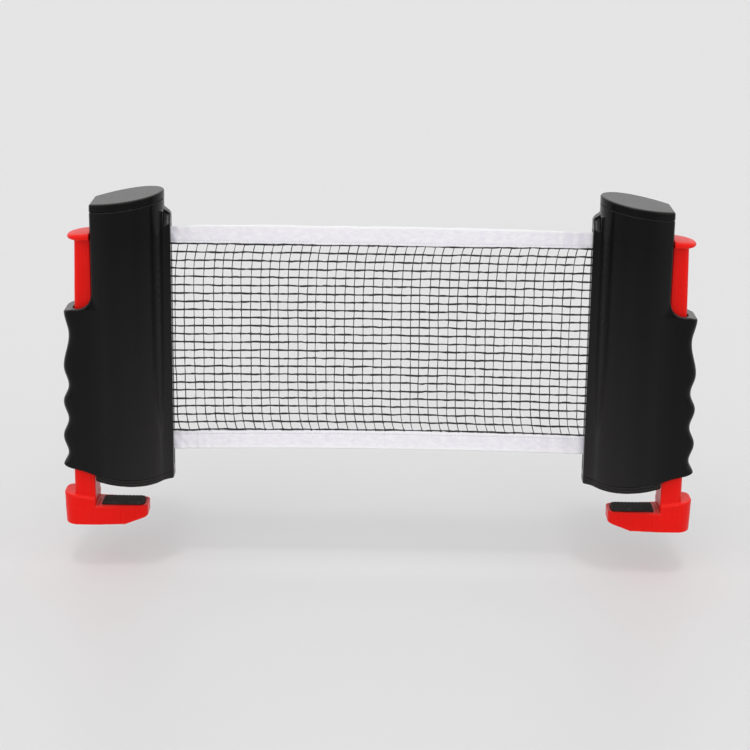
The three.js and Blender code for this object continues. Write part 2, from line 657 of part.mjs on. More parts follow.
function clampJaw() {
  const tapered = new THREE.ExtrudeGeometry(jawPlan(0), { depth: 1, bevelEnabled: false, curveSegments: 5 });
  const place = tapered.attributes.position;
  for (let k = 0; k < place.count; k += 1) {
    const low = 1 - place.getZ(k);
    const squeeze = (jawHalf - jawDraft * low) / jawHalf;
    const outer = place.getX(k) < 0 ? (jawReach - jawDraft * low) / jawReach : 1;
    const height = jawBottom + place.getZ(k) * (jawCrest - jawBottom);
    place.setXYZ(k, place.getX(k) * outer, place.getY(k) * squeeze, height);
  }
  const side = outline([
    [-jawReach - overshoot, jawBottom - overshoot],
    [armBend, jawBottom - overshoot],
    [armBend, jawBottom],
    [armReach, armTipBottom],
    [armReach + overshoot, armTipBottom],
    [armReach + overshoot, armTop],
    [-neckWallGap, armTop],
    [-neckWallGap, jawCrest - jawDip],
    [-jawReach, jawCrest],
    [-jawReach - overshoot, jawCrest],
  ]);
  const arm = solid(tapered).intersect(solid(across(side, jawHalf + overshoot)));
  const neck = upright(roundedBar(-neckReach, -neckWallGap, neckHalf, neckCorner), jawBottom / 2, neckTop, 4);
  const seat = padSeat(0, jawPadTop - padThickness - fitGap, 0);
  const pockets = [1, -1].flatMap((sign) => {
    const inner = sign * (armWall / 2);
    const outer = sign * (armTipHalf - armWall);
    const [y0, y1] = [Math.min(inner, outer), Math.max(inner, outer)];
    const roofUnder = armTop - padRecess - armWall;
    return [
      solid(block(armWall, armReach - 2 * armWall, y0, y1, jawBottom - overshoot, roofUnder)),
      solid(block(-jawReach + 3 * armWall, -armWall, y0, y1, jawBottom - overshoot, roofUnder)),
    ];
  });
  const socketFront = tongueMiddle - tongueThickness / 2 - fitGap;
  const socketBack = tongueMiddle + tongueThickness / 2 + fitGap;
  const socketHalf = tongueHalf + fitGap;
  const socketBottom = neckTop - tongueLength - fitGap;
  const socket = block(socketFront, socketBack, -socketHalf, socketHalf, socketBottom, neckTop + overshoot);
  const pinHole = rod(0, 0, pinRadius + fitGap, -jawHalf, jawHalf, 10);
  pinHole.rotateX(Math.PI / 2).translate(tongueMiddle, 0, pinHeight);
  return cut(join(arm, solid(neck)), seat, ...pockets, solid(socket), solid(pinHole));
}

// The recess of the jaw pad, or with an inset the pad itself.
function padSeat(inset, from, to) {
  const corner = 3;
  const half = armTipHalf - padInset - inset;
  const start = padStart + inset;
  const end = armReach - padInset - inset;
  const shape = new THREE.Shape();
  shape.moveTo(start, -half);
  shape.lineTo(end - corner, -half);
  shape.absarc(end - corner, corner - half, corner, -Math.PI / 2, 0, false);
  shape.absarc(end - corner, half - corner, corner, 0, Math.PI / 2, false);
  shape.lineTo(start, half);
  shape.closePath();
  return solid(upright(shape, from, to, 4));
}

const jawPad = () => padSeat(fitGap, jawPadTop - padThickness, jawPadTop);

function rodPin() {
  const pin = rod(0, 0, pinRadius, -pinHalf, pinHalf, 10);
  pin.rotateX(Math.PI / 2).translate(tongueMiddle, 0, pinHeight);
  return solid(pin);
}

// ---------------------------------------------------------------- reel
const reelSpindle = () => solid(rod(reelCentre, 0, spindleRadius, axleBottom, spindleTop, 20));

function reelTube() {
  const bore = tubeRadius - tubeWall;
  return solid(turned(reelCentre, [
    [bore, tubeBottom], [tubeRadius, tubeBottom], [tubeRadius, flangeHeight], [flangeRadius, flangeHeight],
    [flangeRadius, flangeHeight + flangeThickness], [tubeRadius, flangeHeight + flangeThickness],
    [tubeRadius, tubeTop], [bore, tubeTop],
  ], 24));
}

// A bush closes an end of the tube and turns on the spindle; way is +1 at the top.
function reelBush(way) {
  const end = way > 0 ? tubeTop : tubeBottom;
  const bore = spindleRadius + bushGap;
  const plug = tubeRadius - tubeWall - fitGap;
  const face = end + way * fitGap;
  const points = [
    [bore, end - way * bushLength], [plug, end - way * bushLength], [plug, face],
    [tubeRadius, face], [tubeRadius, face + way * bushFlange], [bore, face + way * bushFlange],
  ];
  return solid(turned(reelCentre, way > 0 ? points : points.reverse(), 20));
}

// The wound net: one band that spirals outwards, seen from above.
function netRoll() {
  const stepsPerTurn = 16;
  const steps = rollTurns * stepsPerTurn;
  const innerRadius = tubeRadius + fitGap + rollThickness / 2;
  const outerRadius = rollRadius - rollThickness / 2;
  const edge = (side) => Array.from({ length: steps + 1 }, (_, k) => {
    const radius = innerRadius + ((outerRadius - innerRadius) * k) / steps + (side * rollThickness) / 2;
    const turn = (k / stepsPerTurn) * 2 * Math.PI - leadAngle - fitGap / tubeRadius;
    return [radius * Math.cos(turn), radius * Math.sin(turn)];
  });
  const band = outline([...edge(1), ...edge(-1).reverse()]);
  return solid(upright(band, netBottom, netTop).translate(reelCentre, 0, 0));
}

function retractionSpring() {
  const from = tubeBottom + coilInset;
  const to = tubeTop - coilInset;
  return solid(coilSpring('retraction_spring', reelCentre, from, to, coilRadius, coilWire, coilCurls));
}

// The bar that holds the fixed end of the net, with a slit for it on the side of the slot.
function anchorBar() {
  const bar = solid(rod(barCentre, 0, barRadius, axleBottom, barTop, 20));
  const slitHalf = tapeThickness / 2 + fitGap;
  const slitStart = barCentre + barRadius - barDepth - fitGap;
  const slit = block(slitStart, lipReach, -slitHalf, slitHalf, netBottom - bite, barTop + bite);
  return cut(bar, solid(slit));
}

// ---------------------------------------------------------------- net, in the whole set's coordinates
const netLeft = netStart - postX;
const netRight = postX - barCentre - barRadius + barDepth;
const bow = (x) => tapeRise * Math.max(0, 1 - (2 * x / visibleNet) ** 2);
const tapeSteps = 14;

// A flat band between two edges given as heights along x.
function band(lower, upper, thickness, holes = []) {
  const step = (netRight - netLeft) / tapeSteps;
  const places = Array.from({ length: tapeSteps + 1 }, (_, k) => netLeft + step * k);
  const lowerEdge = places.map((x) => [x, lower(x)]);
  const upperEdge = places.reverse().map((x) => [x, upper(x)]);
  const shape = outline([...lowerEdge, ...upperEdge]);
  shape.holes = holes;
  const geometry = new THREE.ExtrudeGeometry(shape, { depth: thickness, bevelEnabled: false });
  return geometry.rotateX(Math.PI / 2).translate(0, thickness / 2, 0);
}

const meshFloor = (x) => netBottom + bottomTapeHeight + bow(x) + fitGap;
const meshCeiling = () => netTop - topTapeHeight - fitGap;

// The net that runs from the slot to the roll, as one straight sheet that meets the roll at a tangent.
function netLead() {
  const start = new THREE.Vector2(netStart + leadThickness / 4, 0);
  const end = new THREE.Vector2(Math.cos(leadAngle), -Math.sin(leadAngle)).multiplyScalar(leadRadius);
  end.x += reelCentre;
  const aside = end.clone().sub(start).normalize().multiplyScalar(leadThickness / 2);
  const sheet = outline([
    [start.x - aside.y, start.y + aside.x], [end.x - aside.y, end.y + aside.x],
    [end.x + aside.y, end.y - aside.x], [start.x + aside.y, start.y - aside.x],
  ]);
  return solid(upright(sheet, meshFloor(netLeft) + fitGap, meshCeiling() - fitGap).translate(-postX, 0, 0));
}

function netMesh() {
  const column = (netRight - netLeft - cordWidth) / meshColumns;
  const holes = [];
  for (let i = 0; i < meshColumns; i += 1) {
    const x0 = netLeft + cordWidth + i * column;
    const x1 = x0 + column - cordWidth;
    const floor = meshFloor((x0 + x1) / 2) + cordWidth;
    const row = (meshCeiling() - floor) / meshRows;
    for (let j = 0; j < meshRows; j += 1) {
      const z0 = floor + j * row;
      const hole = outline([[x0, z0], [x0, z0 + row - cordWidth], [x1, z0 + row - cordWidth], [x1, z0]]);
      holes.push(hole);
    }
  }
  return geometryOf(join(solid(band(meshFloor, meshCeiling, meshThickness, holes)), netLead()));
}

function topTape() {
  return band(() => netTop - topTapeHeight, (x) => netTop + bow(x), tapeThickness);
}

function bottomTape() {
  const lower = (x) => netBottom + bow(x);
  return band(lower, (x) => lower(x) + bottomTapeHeight, tapeThickness);
}

// ---------------------------------------------------------------- assembly
function mirrored(geometry) {
  const flipped = geometry.clone();
  flipped.applyMatrix4(new THREE.Matrix4().makeScale(-1, 1, 1));
  const index = flipped.index.array;
  for (let k = 0; k < index.length; k += 3) {
    [index[k + 1], index[k + 2]] = [index[k + 2], index[k + 1]];
  }
  return flipped;
}

function piece(name, geometry, material) {
  const mesh = new THREE.Mesh(geometry, material);
  mesh.name = name;
  return mesh;
}

function post(side) {
  const isLeft = side === 'left';
  const socketX = isLeft ? reelCentre : barCentre;
  const socketRadius = isLeft ? spindleRadius : barRadius;
  const parts = [
    ['housing', housing(), blackPlastic],
    ['top_cap', topCap(socketX, socketRadius), blackPlastic],
    ['base_plate', basePlate(socketX, socketRadius), blackPlastic],
    ['base_pad', basePad(), softRubber],
    ...screwPlaces.map((place, k) => [`base_screw_${k + 1}`, baseScrew(place), steel]),
    ['push_rod', pushRod(), redPlastic],
    ['clamp_spring', clampSpring(`${side}_clamp_spring`), steel],
    ['clamp_jaw', clampJaw(), redPlastic],
    ['jaw_pad', jawPad(), softRubber],
    ['rod_pin', rodPin(), steel],
  ];
  const group = new THREE.Group();
  group.position.x = isLeft ? -postX : postX;
  for (const [name, body, material] of parts) {
    const geometry = geometryOf(body);
    group.add(piece(`${side}_${name}`, isLeft ? geometry : mirrored(geometry), material));
  }
  return group;
}

const leftPost = post('left');
leftPost.add(
  piece('reel_spindle', geometryOf(reelSpindle()), steel),
  piece('reel_tube', geometryOf(reelTube()), paleNylon),
  piece('reel_upper_bush', geometryOf(reelBush(1)), paleNylon),
  piece('reel_lower_bush', geometryOf(reelBush(-1)), paleNylon),
  piece('retraction_spring', geometryOf(retractionSpring()), steel),
  piece('net_roll', geometryOf(netRoll()), netCord),
);

const rightPost = post('right');
rightPost.add(piece('net_anchor_bar', mirrored(geometryOf(anchorBar())), blackPlastic));

const group = new THREE.Group();
group.add(
  leftPost,
  rightPost,
  piece('net_mesh', netMesh(), netCord),
  piece('net_top_tape', topTape(), whiteTape),
  piece('net_bottom_tape', bottomTape(), whiteTape),
);

export default group;
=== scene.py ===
# %% [markdown]
# # A clip-on table tennis net
# Two black clamp posts hold a net between them, and the spare net winds into the left post. The frame
# below is the engineering model: it fixes where every piece sits and how it moves. This lesson gives each
# piece its real surface: moulded plastic with rounded edges, a knotted net, woven tape, rubber and wire.

# %% Load the frame
import bpy
import math
import numpy as np
from mathutils import Matrix, Vector


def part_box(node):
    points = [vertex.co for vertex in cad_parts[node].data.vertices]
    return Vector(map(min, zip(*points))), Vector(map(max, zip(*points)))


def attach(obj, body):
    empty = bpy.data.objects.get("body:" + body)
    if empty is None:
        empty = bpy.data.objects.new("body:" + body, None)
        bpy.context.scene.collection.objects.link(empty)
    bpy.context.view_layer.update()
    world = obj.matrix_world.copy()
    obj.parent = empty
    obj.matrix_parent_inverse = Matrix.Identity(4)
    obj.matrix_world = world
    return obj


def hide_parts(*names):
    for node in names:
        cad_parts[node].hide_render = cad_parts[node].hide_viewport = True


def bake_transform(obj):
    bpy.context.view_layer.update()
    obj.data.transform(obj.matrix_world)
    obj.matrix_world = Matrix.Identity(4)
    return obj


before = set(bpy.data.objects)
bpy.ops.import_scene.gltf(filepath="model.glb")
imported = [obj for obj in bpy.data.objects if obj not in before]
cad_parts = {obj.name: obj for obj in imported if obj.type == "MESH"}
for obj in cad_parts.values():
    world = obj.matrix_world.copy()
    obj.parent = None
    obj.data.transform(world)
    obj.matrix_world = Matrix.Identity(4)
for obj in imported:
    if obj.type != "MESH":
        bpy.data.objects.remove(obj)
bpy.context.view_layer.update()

# %% [markdown]
# ## The camera
# The set is seen from the front and a little from above, through a long lens, so that the two posts keep
# their width. The lens and the place below were fitted to the straight edges of the set, with the height of
# the net taken as the standard one.

# %% Place the camera
MM = 0.001
SENSOR = 36.0
LENS = 96.14
CAMERA_PLACE = Vector((-1.6, -1288.6, 441.6)) * MM
LOOK_DOWN = math.radians(15.97)
LOOK_ASIDE = math.radians(0.07)
TILT = math.radians(0.77)

level_right = Vector((math.cos(LOOK_ASIDE), math.sin(LOOK_ASIDE), 0))
level_ahead = Vector((-math.sin(LOOK_ASIDE), math.cos(LOOK_ASIDE), 0))
ahead = math.cos(LOOK_DOWN) * level_ahead - math.sin(LOOK_DOWN) * Vector((0, 0, 1))
upward = math.sin(LOOK_DOWN) * level_ahead + math.cos(LOOK_DOWN) * Vector((0, 0, 1))
camera_right = math.cos(TILT) * level_right + math.sin(TILT) * upward
camera_up = math.cos(TILT) * upward - math.sin(TILT) * level_right
camera_turn = Matrix((camera_right, camera_up, -ahead)).transposed().to_4x4()

lens = bpy.data.cameras.new("studio_camera")
lens.sensor_width = SENSOR
lens.lens = LENS
lens.clip_end = 100
camera = bpy.data.objects.new("studio_camera", lens)
camera.matrix_world = Matrix.Translation(CAMERA_PLACE) @ camera_turn
bpy.context.scene.collection.objects.link(camera)
bpy.context.scene.camera = camera
bpy.context.scene.view_settings.view_transform = "Standard"
print("camera looks along", [round(v, 3) for v in ahead])

# %% [markdown]
# ## Nodes in one line
# Materials and Geometry Nodes trees are both made of nodes with inputs. One small helper makes a node, sets
# its settings, and fills each input with a value or with a link, so that a tree reads from top to bottom.

# %% A helper for nodes
def fill(tree, socket, value):
    if isinstance(value, bpy.types.NodeSocket):
        tree.links.new(value, socket)
    else:
        socket.default_value = value


def node(tree, kind, inputs=None, **settings):
    made = tree.nodes.new(kind)
    for name, value in settings.items():
        setattr(made, name, value)
    for key, value in (inputs or {}).items():
        fill(tree, made.inputs[key], value)
    return made


def maths(tree, way, *values):
    return node(tree, "ShaderNodeMath", dict(enumerate(values)), operation=way).outputs[0]

print("node helpers ready")

# %% [markdown]
# ## Words for finishes
# Most finishes need the same few things, and each gets a short word. The first three turn a value into a
# shade of grey, two colours into one, and one range of values into another.

# %% Shades, mixes and ranges
def ramp(tree, factor, start, end):
    """Turns a value into grey; start and end are each a place and a shade."""
    made = node(tree, "ShaderNodeValToRGB", {"Fac": factor})
    for element, (place, shade) in zip(made.color_ramp.elements, (start, end)):
        element.position = place
        element.color = (shade, shade, shade, 1)
    return made.outputs["Color"]


def blended(tree, factor, first, second, way="MIX"):
    """Mixes two colours, each a socket or a tuple."""
    first, second = ((*shade, 1) if isinstance(shade, tuple) else shade for shade in (first, second))
    inputs = {0: factor, 6: first, 7: second}
    return node(tree, "ShaderNodeMix", inputs, data_type="RGBA", blend_type=way).outputs[2]


def spread(tree, value, low, high, start=0.0, end=1.0):
    """Maps a value from start..end to low..high."""
    inputs = {"Value": value, "From Min": start, "From Max": end, "To Min": low, "To Max": high}
    return node(tree, "ShaderNodeMapRange", inputs).outputs["Result"]

print("shades, mixes and ranges ready")

# %% [markdown]
# A finish also has to know where on a piece it is. Clouds of noise and relief take object coordinates, wear
# takes a value stored on the mesh, and dust takes the way a face looks. A finish is then a function that
# returns what goes into the inputs of its shader, and painted() makes the material from it.

# %% Places, clouds, relief and materials
def object_place(tree):
    return node(tree, "ShaderNodeTexCoord").outputs["Object"]


def facing_up(tree):
    """1 on a face that looks straight up, 0 on an upright one."""
    facing = node(tree, "ShaderNodeTexCoord").outputs["Normal"]
    return node(tree, "ShaderNodeSeparateXYZ", {"Vector": facing}).outputs["Z"]


def stored(tree, word):
    return node(tree, "ShaderNodeAttribute", attribute_name=word).outputs["Fac"]


def noise(tree, place, scale, detail, roughness=0.5):
    """Clouds of noise; a scale of three numbers draws them out along the axes."""
    if isinstance(scale, tuple):
        place, scale = node(tree, "ShaderNodeMapping", {"Vector": place, "Scale": scale}).outputs[0], 1.0
    inputs = {"Vector": place, "Scale": scale, "Detail": detail, "Roughness": roughness}
    return node(tree, "ShaderNodeTexNoise", inputs).outputs["Fac"]


def bump(tree, height, strength, depth, over=None):
    """Relief of the given depth in metres, over another bump if there is one."""
    inputs = {"Height": height, "Strength": strength, "Distance": depth}
    return node(tree, "ShaderNodeBump", inputs | ({"Normal": over} if over else {})).outputs[0]


def painted(name, finish):
    material = bpy.data.materials.new(name)
    material.use_nodes = True
    tree = material.node_tree
    shader = tree.nodes["Principled BSDF"]
    for word, value in finish(tree).items():
        fill(tree, shader.inputs[word], value)
    print("finish:", name)
    return material

print("finish helpers ready")

# %% [markdown]
# ## The studio
# A pale floor lies as low as the open clamps reach, under a pale world. Black plastic shows its form by what
# it mirrors, so rays that leave a shiny face find the world darker in front than at the back.

# %% Floor and world
FLOOR_HEIGHT = -0.0665
FLOOR_RADIUS = 60
FLOOR_PAINT = {"Base Color": (0.80, 0.795, 0.80, 1), "Roughness": 0.45, "Specular IOR Level": 0.25}
BACKDROP = (0.79, 0.785, 0.79, 1)
WHITE = (1, 1, 1, 1)
SURROUND_LIGHT = 0.60
MIRRORED_FRONT, MIRRORED_BACK = 0.15, 0.85

def studio_floor():
    bpy.ops.mesh.primitive_circle_add(vertices=96, radius=FLOOR_RADIUS, fill_type="NGON",
                                      location=(0, 0, FLOOR_HEIGHT))
    floor = bpy.context.object
    floor.name = "studio_floor"
    floor.data.materials.append(painted("studio_floor_paint", lambda tree: FLOOR_PAINT))


def studio_world():
    world = bpy.data.worlds.new("studio_world")
    bpy.context.scene.world = world
    world.use_nodes = True
    tree = world.node_tree
    tree.nodes.clear()
    path = node(tree, "ShaderNodeLightPath").outputs
    direction = node(tree, "ShaderNodeTexCoord").outputs["Generated"]
    toward = node(tree, "ShaderNodeSeparateXYZ", {"Vector": direction}).outputs["Y"]
    behind = spread(tree, toward, MIRRORED_FRONT, MIRRORED_BACK, -0.7, 0.5)
    plain, seen, mirrored = (
        node(tree, "ShaderNodeBackground", {"Color": colour, "Strength": strength}).outputs[0]
        for colour, strength in ((WHITE, SURROUND_LIGHT), (BACKDROP, 1.0), (WHITE, behind)))
    shiny = maths(tree, "MAXIMUM", path["Is Glossy Ray"], path["Is Transmission Ray"])
    lit = node(tree, "ShaderNodeMixShader", {0: shiny, 1: plain, 2: mirrored}).outputs[0]
    whole = node(tree, "ShaderNodeMixShader", {0: path["Is Camera Ray"], 1: lit, 2: seen}).outputs[0]
    node(tree, "ShaderNodeOutputWorld", {"Surface": whole})


studio_floor()
studio_world()
print("studio: floor at", FLOOR_HEIGHT, "m, a pale world around it")

# %% [markdown]
# The light comes from all sides. The lamps are suns with wide discs, so the floor is lit evenly up to the
# horizon, and one narrower disc draws the fine highlights on rounded edges.

# %% Lamps
LAMPS = {  # the way each shines, its strength and the angle of its disc
    "overhead_light": ((0.10, 0.25, -1), 0.40, 70),
    "front_light": ((0.15, 1.0, -0.70), 0.64, 60),
    "key_light": ((0.0, 0.40, -0.90), 0.28, 7),
    "left_light": ((1.0, 0.45, -0.45), 0.20, 35),
    "right_light": ((-1.0, 0.50, -0.45), 0.26, 35),
}

def broad_light(name, toward, strength, disc):
    """A sun lamp with a wide disc: even over the whole floor, with a soft shadow."""
    light = bpy.data.lights.new(name, "SUN")
    light.energy = strength
    light.angle = math.radians(disc)
    lamp = bpy.data.objects.new(name, light)
    lamp.rotation_euler = Vector(toward).to_track_quat("-Z", "Y").to_euler()
    bpy.context.scene.collection.objects.link(lamp)

for name, setting in LAMPS.items():
    broad_light(name, *setting)
print("lamps:", ", ".join(LAMPS))

# %% [markdown]
# ## Sizes from the frame
# The main heights and widths are read from the engineering model, in millimetres. Its slopes, gaps and small
# sizes can't be read from a box, so they are written out here and in the cells below. A post is drawn in its
# own coordinates: x is 0 at its flat outer wall and grows towards the net, and the right post is mirrored.

# %% Read the sizes
def low(part, axis):
    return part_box(part)[0][axis] / MM


def high(part, axis):
    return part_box(part)[1][axis] / MM

POST_X = -low("left_base_plate", 0)
LIP_REACH = high("left_base_plate", 0) + POST_X
HALF_DEPTH = high("left_base_plate", 1)
CAP_SLOPE = 0.17
BODY_LENGTH = high("left_top_cap", 0) + POST_X
CAP_TOP = high("left_top_cap", 2) - CAP_SLOPE * BODY_LENGTH
HOUSING_BOTTOM = low("left_housing", 2)
PLATE_BOTTOM = low("left_base_plate", 2)
BOW = 1.8
NET_TOP = high("net_top_tape", 2) - BOW
JAW_BOTTOM = low("left_clamp_jaw", 2)
JAW_REACH = -(low("left_clamp_jaw", 0) + POST_X)
ARM_REACH = high("left_clamp_jaw", 0) + POST_X
NECK_TOP = high("left_clamp_jaw", 2)
THUMB_TOP = high("left_push_rod", 2)
THUMB_REACH = -(low("left_push_rod", 0) + POST_X)
GAP = 0.3
print(f"wall at {POST_X:.1f}, body {BODY_LENGTH:.1f} and lip {LIP_REACH:.1f} long,",
      f"thumb plate {THUMB_TOP:.1f} mm up")

# %% [markdown]
# ## Moulded shapes as distances
# A moulded part is rounded on every edge and hollow in every corner. Bevels on a mesh full of cuts tear
# easily, so these parts are written as distances instead: a formula gives how far a point lies from the
# surface, below zero inside. Two such fields are met or fused with a chosen radius, which is what a mould
# maker's fillet is, and the zero level is then turned into a mesh.

# %% Meet, fuse and carve
def meet(first, second, radius):
    """What is inside both, with its new edge rounded outward."""
    outside = np.hypot(np.maximum(first + radius, 0), np.maximum(second + radius, 0)) - radius
    return np.minimum(np.maximum(first, second) + radius, 0) + outside


def fuse(first, second, radius):
    """What is inside either, with a hollow fillet between them."""
    return -meet(-first, -second, radius)


def carve(body, tool, radius):
    """The body without the tool, with the rim of the cut rounded."""
    return meet(body, -tool, radius)


def slab(value, start, end, radius):
    return meet(start - value, value - end, min(radius, (end - start) / 2.01))


def bar(x, y, outer, inner, half, corner, edge=0.3):
    """A bar in plan from x = outer to x = inner, whose outer corners are rounded."""
    return meet(meet(outer - x, np.abs(y) - half, corner), x - inner, edge)


def round_bar(u, v, radius):
    return np.hypot(u, v) - radius


def oval(x, y, along, across):
    """An ellipse about the origin, in plan."""
    u, v = x / along, y / across
    size = np.maximum(np.hypot(u, v), 1e-6)
    return (size - 1) * size / np.maximum(np.hypot(u / along, v / across), 1e-9)

print("a met edge of radius 1 at its corner:", round(float(meet(np.array(0.0), np.array(0.0), 1.0)), 3))

# %% [markdown]
# ## From distances to a mesh
# The space is cut into cells. Each cell that the surface crosses gets one vertex, at the middle of the
# places where its edges cross the surface, and four cells around a crossed edge get a face.

# %% Vertices and faces of a field
def even_steps(*spans):
    """Cell borders along one axis; each span is (start, end, step)."""
    places = []
    for start, end, step in spans:
        count = max(1, round((end - start) / step))
        places.extend(start + (end - start) * k / count for k in range(count))
    return np.array([*places, spans[-1][1]])


def crossed_cells(value, axes):
    """One vertex for each cell that the surface crosses, and the faces between them."""
    inside = value < 0
    nx, ny, nz = (n - 1 for n in inside.shape)
    offsets = [(i, j, k) for i in (0, 1) for j in (0, 1) for k in (0, 1)]
    count = sum(inside[i:nx + i, j:ny + j, k:nz + k].astype(np.int8) for i, j, k in offsets)
    crossed = (count > 0) & (count < 8)
    number = np.full(crossed.shape, -1, np.int64)
    number[crossed] = np.arange(crossed.sum())
    cells = np.argwhere(crossed)
    total = np.zeros((len(cells), 3))
    hits = np.zeros(len(cells))
    for first in offsets:
        for axis in range(3):
            if first[axis]:
                continue
            start = cells + first
            end = start.copy()
            end[:, axis] += 1
            a, b = value[tuple(start.T)], value[tuple(end.T)]
            crosses = (a < 0) != (b < 0)
            share = np.where(crosses, a / np.where(crosses, a - b, 1), 0)
            point = np.stack([axes[d][start[:, d]] for d in range(3)], 1)
            point[:, axis] += share * (axes[axis][end[:, axis]] - axes[axis][start[:, axis]])
            total += point * crosses[:, None]
            hits += crosses
    return total / hits[:, None], edge_faces(inside, number)


def edge_faces(inside, number):
    """A face for each crossed edge, turned so that it looks outward."""
    faces = []
    for axis in range(3):
        u, w = (axis + 1) % 3, (axis + 2) % 3
        start = np.moveaxis(inside, (axis, u, w), (0, 1, 2))
        cell = np.moveaxis(number, (axis, u, w), (0, 1, 2))
        here, there = start[:-1, 1:-1, 1:-1], start[1:, 1:-1, 1:-1]
        quads = np.stack([cell[:, :-1, :-1], cell[:, 1:, :-1], cell[:, 1:, 1:], cell[:, :-1, 1:]], -1)
        faces.append(quads[here & ~there])
        faces.append(quads[there & ~here][:, ::-1])
    return np.concatenate(faces)

print("cells along 10 mm in steps of 0.8:", len(even_steps((0, 10, 0.8))) - 1)

# %% [markdown]
# The vertices are then evened out and drawn onto the exact surface along the slope of the field. The slope
# also gives the true normals.

# %% Even out the vertices
FLATTEST = 0.05

def around(shape, points, step):
    """The field a step before and a step after each point, along each axis in turn."""
    for shift in np.eye(3) * step:
        yield shape(*(points - shift).T), shape(*(points + shift).T)


def slope(shape, points, step=0.05):
    return np.stack([(after - before) / (2 * step) for before, after in around(shape, points, step)], 1)


def surface_normals(shape, points):
    normals = slope(shape, points)
    return normals / (np.linalg.norm(normals, axis=1)[:, None] + 1e-9)


def onto_surface(shape, points, reach):
    rise = slope(shape, points)
    size = np.maximum((rise ** 2).sum(1), FLATTEST)
    step = np.clip(shape(*points.T), -reach, reach) / size
    return points - rise * step[:, None]


def evened(shape, points, faces, rounds, reach=0.4):
    """Draws the vertices onto the surface and spreads them evenly over it."""
    pairs = np.concatenate([faces[:, [0, 1]], faces[:, [1, 2]], faces[:, [2, 3]], faces[:, [3, 0]]])
    both = np.concatenate([pairs, pairs[:, ::-1]])
    weight = np.bincount(both[:, 0], minlength=len(points))[:, None]
    for _ in range(rounds):
        points = onto_surface(shape, points, reach)
        middle = np.stack([np.bincount(both[:, 0], points[both[:, 1], d], len(points)) for d in range(3)], 1)
        normal = surface_normals(shape, points)
        move = middle / weight - points
        move -= normal * (move * normal).sum(1)[:, None]
        points = onto_surface(shape, points + 0.5 * move, reach)
    return onto_surface(shape, points, reach)

bar_slope = slope(lambda x, y, z: round_bar(x, y, 1.0), np.array([[1.0, 0.0, 0.0]]))
print("slope of a round bar's field on its skin:", bar_slope.round(3).tolist())

# %% [markdown]
# How strongly the field bends shows where the edges are, which a finish reads as wear. One call then does the
# whole way from a field to points, faces, normals and wear.

# %% Mesh a field
WEAR_WIDTH = 0.35

def edge_sharpness(shape, points):
    """How strongly the surface bends outward, from 0 on a flat face to 1 on an edge."""
    bend = -6 * shape(*points.T)
    for before, after in around(shape, points, WEAR_WIDTH):
        bend = bend + after + before
    return np.clip(bend / WEAR_WIDTH ** 2 * 0.6, 0, 1)


def moulded(shape, x_spans, y_spans, z_spans, rounds=3):
    """Meshes a distance field; returns points, faces, normals and the sharpness of edges."""
    axes = [even_steps(*spans) for spans in (x_spans, y_spans, z_spans)]
    value = shape(*np.meshgrid(*axes, indexing="ij", sparse=True)) + np.zeros([len(a) for a in axes])
    points, faces = crossed_cells(value, axes)
    points = evened(shape, points, faces, rounds)
    return points, faces, surface_normals(shape, points), edge_sharpness(shape, points)

print("mesher ready")

# %% [markdown]
# ## Placing a moulded piece
# One shape serves both posts. The left copy is moved to its post, and the right copy is mirrored, which
# would turn it inside out, so its faces are turned round as well.

# %% Make an object from a moulded shape
SIDES = ("left", "right")

def to_set(points, side):
    """From a post's own millimetres to metres in the whole set."""
    placed = np.array(points, float)
    placed[:, 0] = placed[:, 0] - POST_X if side == "left" else POST_X - placed[:, 0]
    return placed * MM


def linked(name, mesh):
    made = bpy.data.objects.new(name, mesh)
    bpy.context.scene.collection.objects.link(made)
    return made


def smoothed(made):
    made.data.polygons.foreach_set("use_smooth", [True] * len(made.data.polygons))
    made.data.update()
    return made


def new_object(name, points, faces, material):
    mesh = bpy.data.meshes.new(name)
    mesh.from_pydata(points.tolist(), [], faces.tolist() if isinstance(faces, np.ndarray) else faces)
    mesh.materials.append(material)
    return smoothed(linked(name, mesh))


def store(mesh, word, values):
    """Keeps a number at each vertex, for a finish or a tree to read."""
    mesh.attributes.new(word, "FLOAT", "POINT").data.foreach_set("value", np.asarray(values, np.float32))


def moulded_object(name, form, side, material):
    points, faces, normals, sharp = form
    outward = normals.copy()
    if side == "right":
        faces = faces[:, ::-1]
        outward[:, 0] *= -1
    made = new_object(name, to_set(points, side), faces, material)
    store(made.data, "worn_edge", sharp)
    made.data.normals_split_custom_set_from_vertices(outward.tolist())
    return made

print("the outer wall of the left post lies at", to_set([(0, 0, 0)], "left")[0].round(4).tolist())

# %% [markdown]
# Each piece then rides on a body of the engineering model and stands for a node of it, which is hidden.

# %% Settle a piece in the frame
def settle(piece, body, slot, *nodes):
    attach(piece, body)
    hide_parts(*nodes)


def both_sides(word, form, material, slot, body, node_word):
    """Puts a shape on the left and the right post and lets it stand for that node of the frame."""
    for side in SIDES:
        made = moulded_object(f"{side}_{word}", form, side, material)
        settle(made, f"{side}_{body}", slot, f"{side}_{node_word}")
    print(f"{word}: {len(form[0])} vertices, {2 * len(form[1])} triangles on each side")

print("placing ready")

# %% [markdown]
# ## Black moulded plastic
# The posts are near-black plastic with a satin skin. Up close such a skin has a fine spark-eroded grain,
# faint vertical flow, uneven gloss where hands rub it, and paler edges. Faces that look up get a pale film
# that is partly dust and partly painted sheen, and low down on the side of the net the skin gets a painted
# reflection. Colour, roughness and bump all read object coordinates.

# %% Finish of the black plastic
# The film is partly dust and partly painted sheen on faces that look up, and painted reflection low down on
# the side of the net.
PAINTED_REFLECTION_TOP = 0.170
DUST_AND_SHEEN_COLOUR = (0.150, 0.140, 0.138)
DUST_AND_SHEEN_ON_TOP, PAINTED_REFLECTION_BELOW = 0.34, 0.13

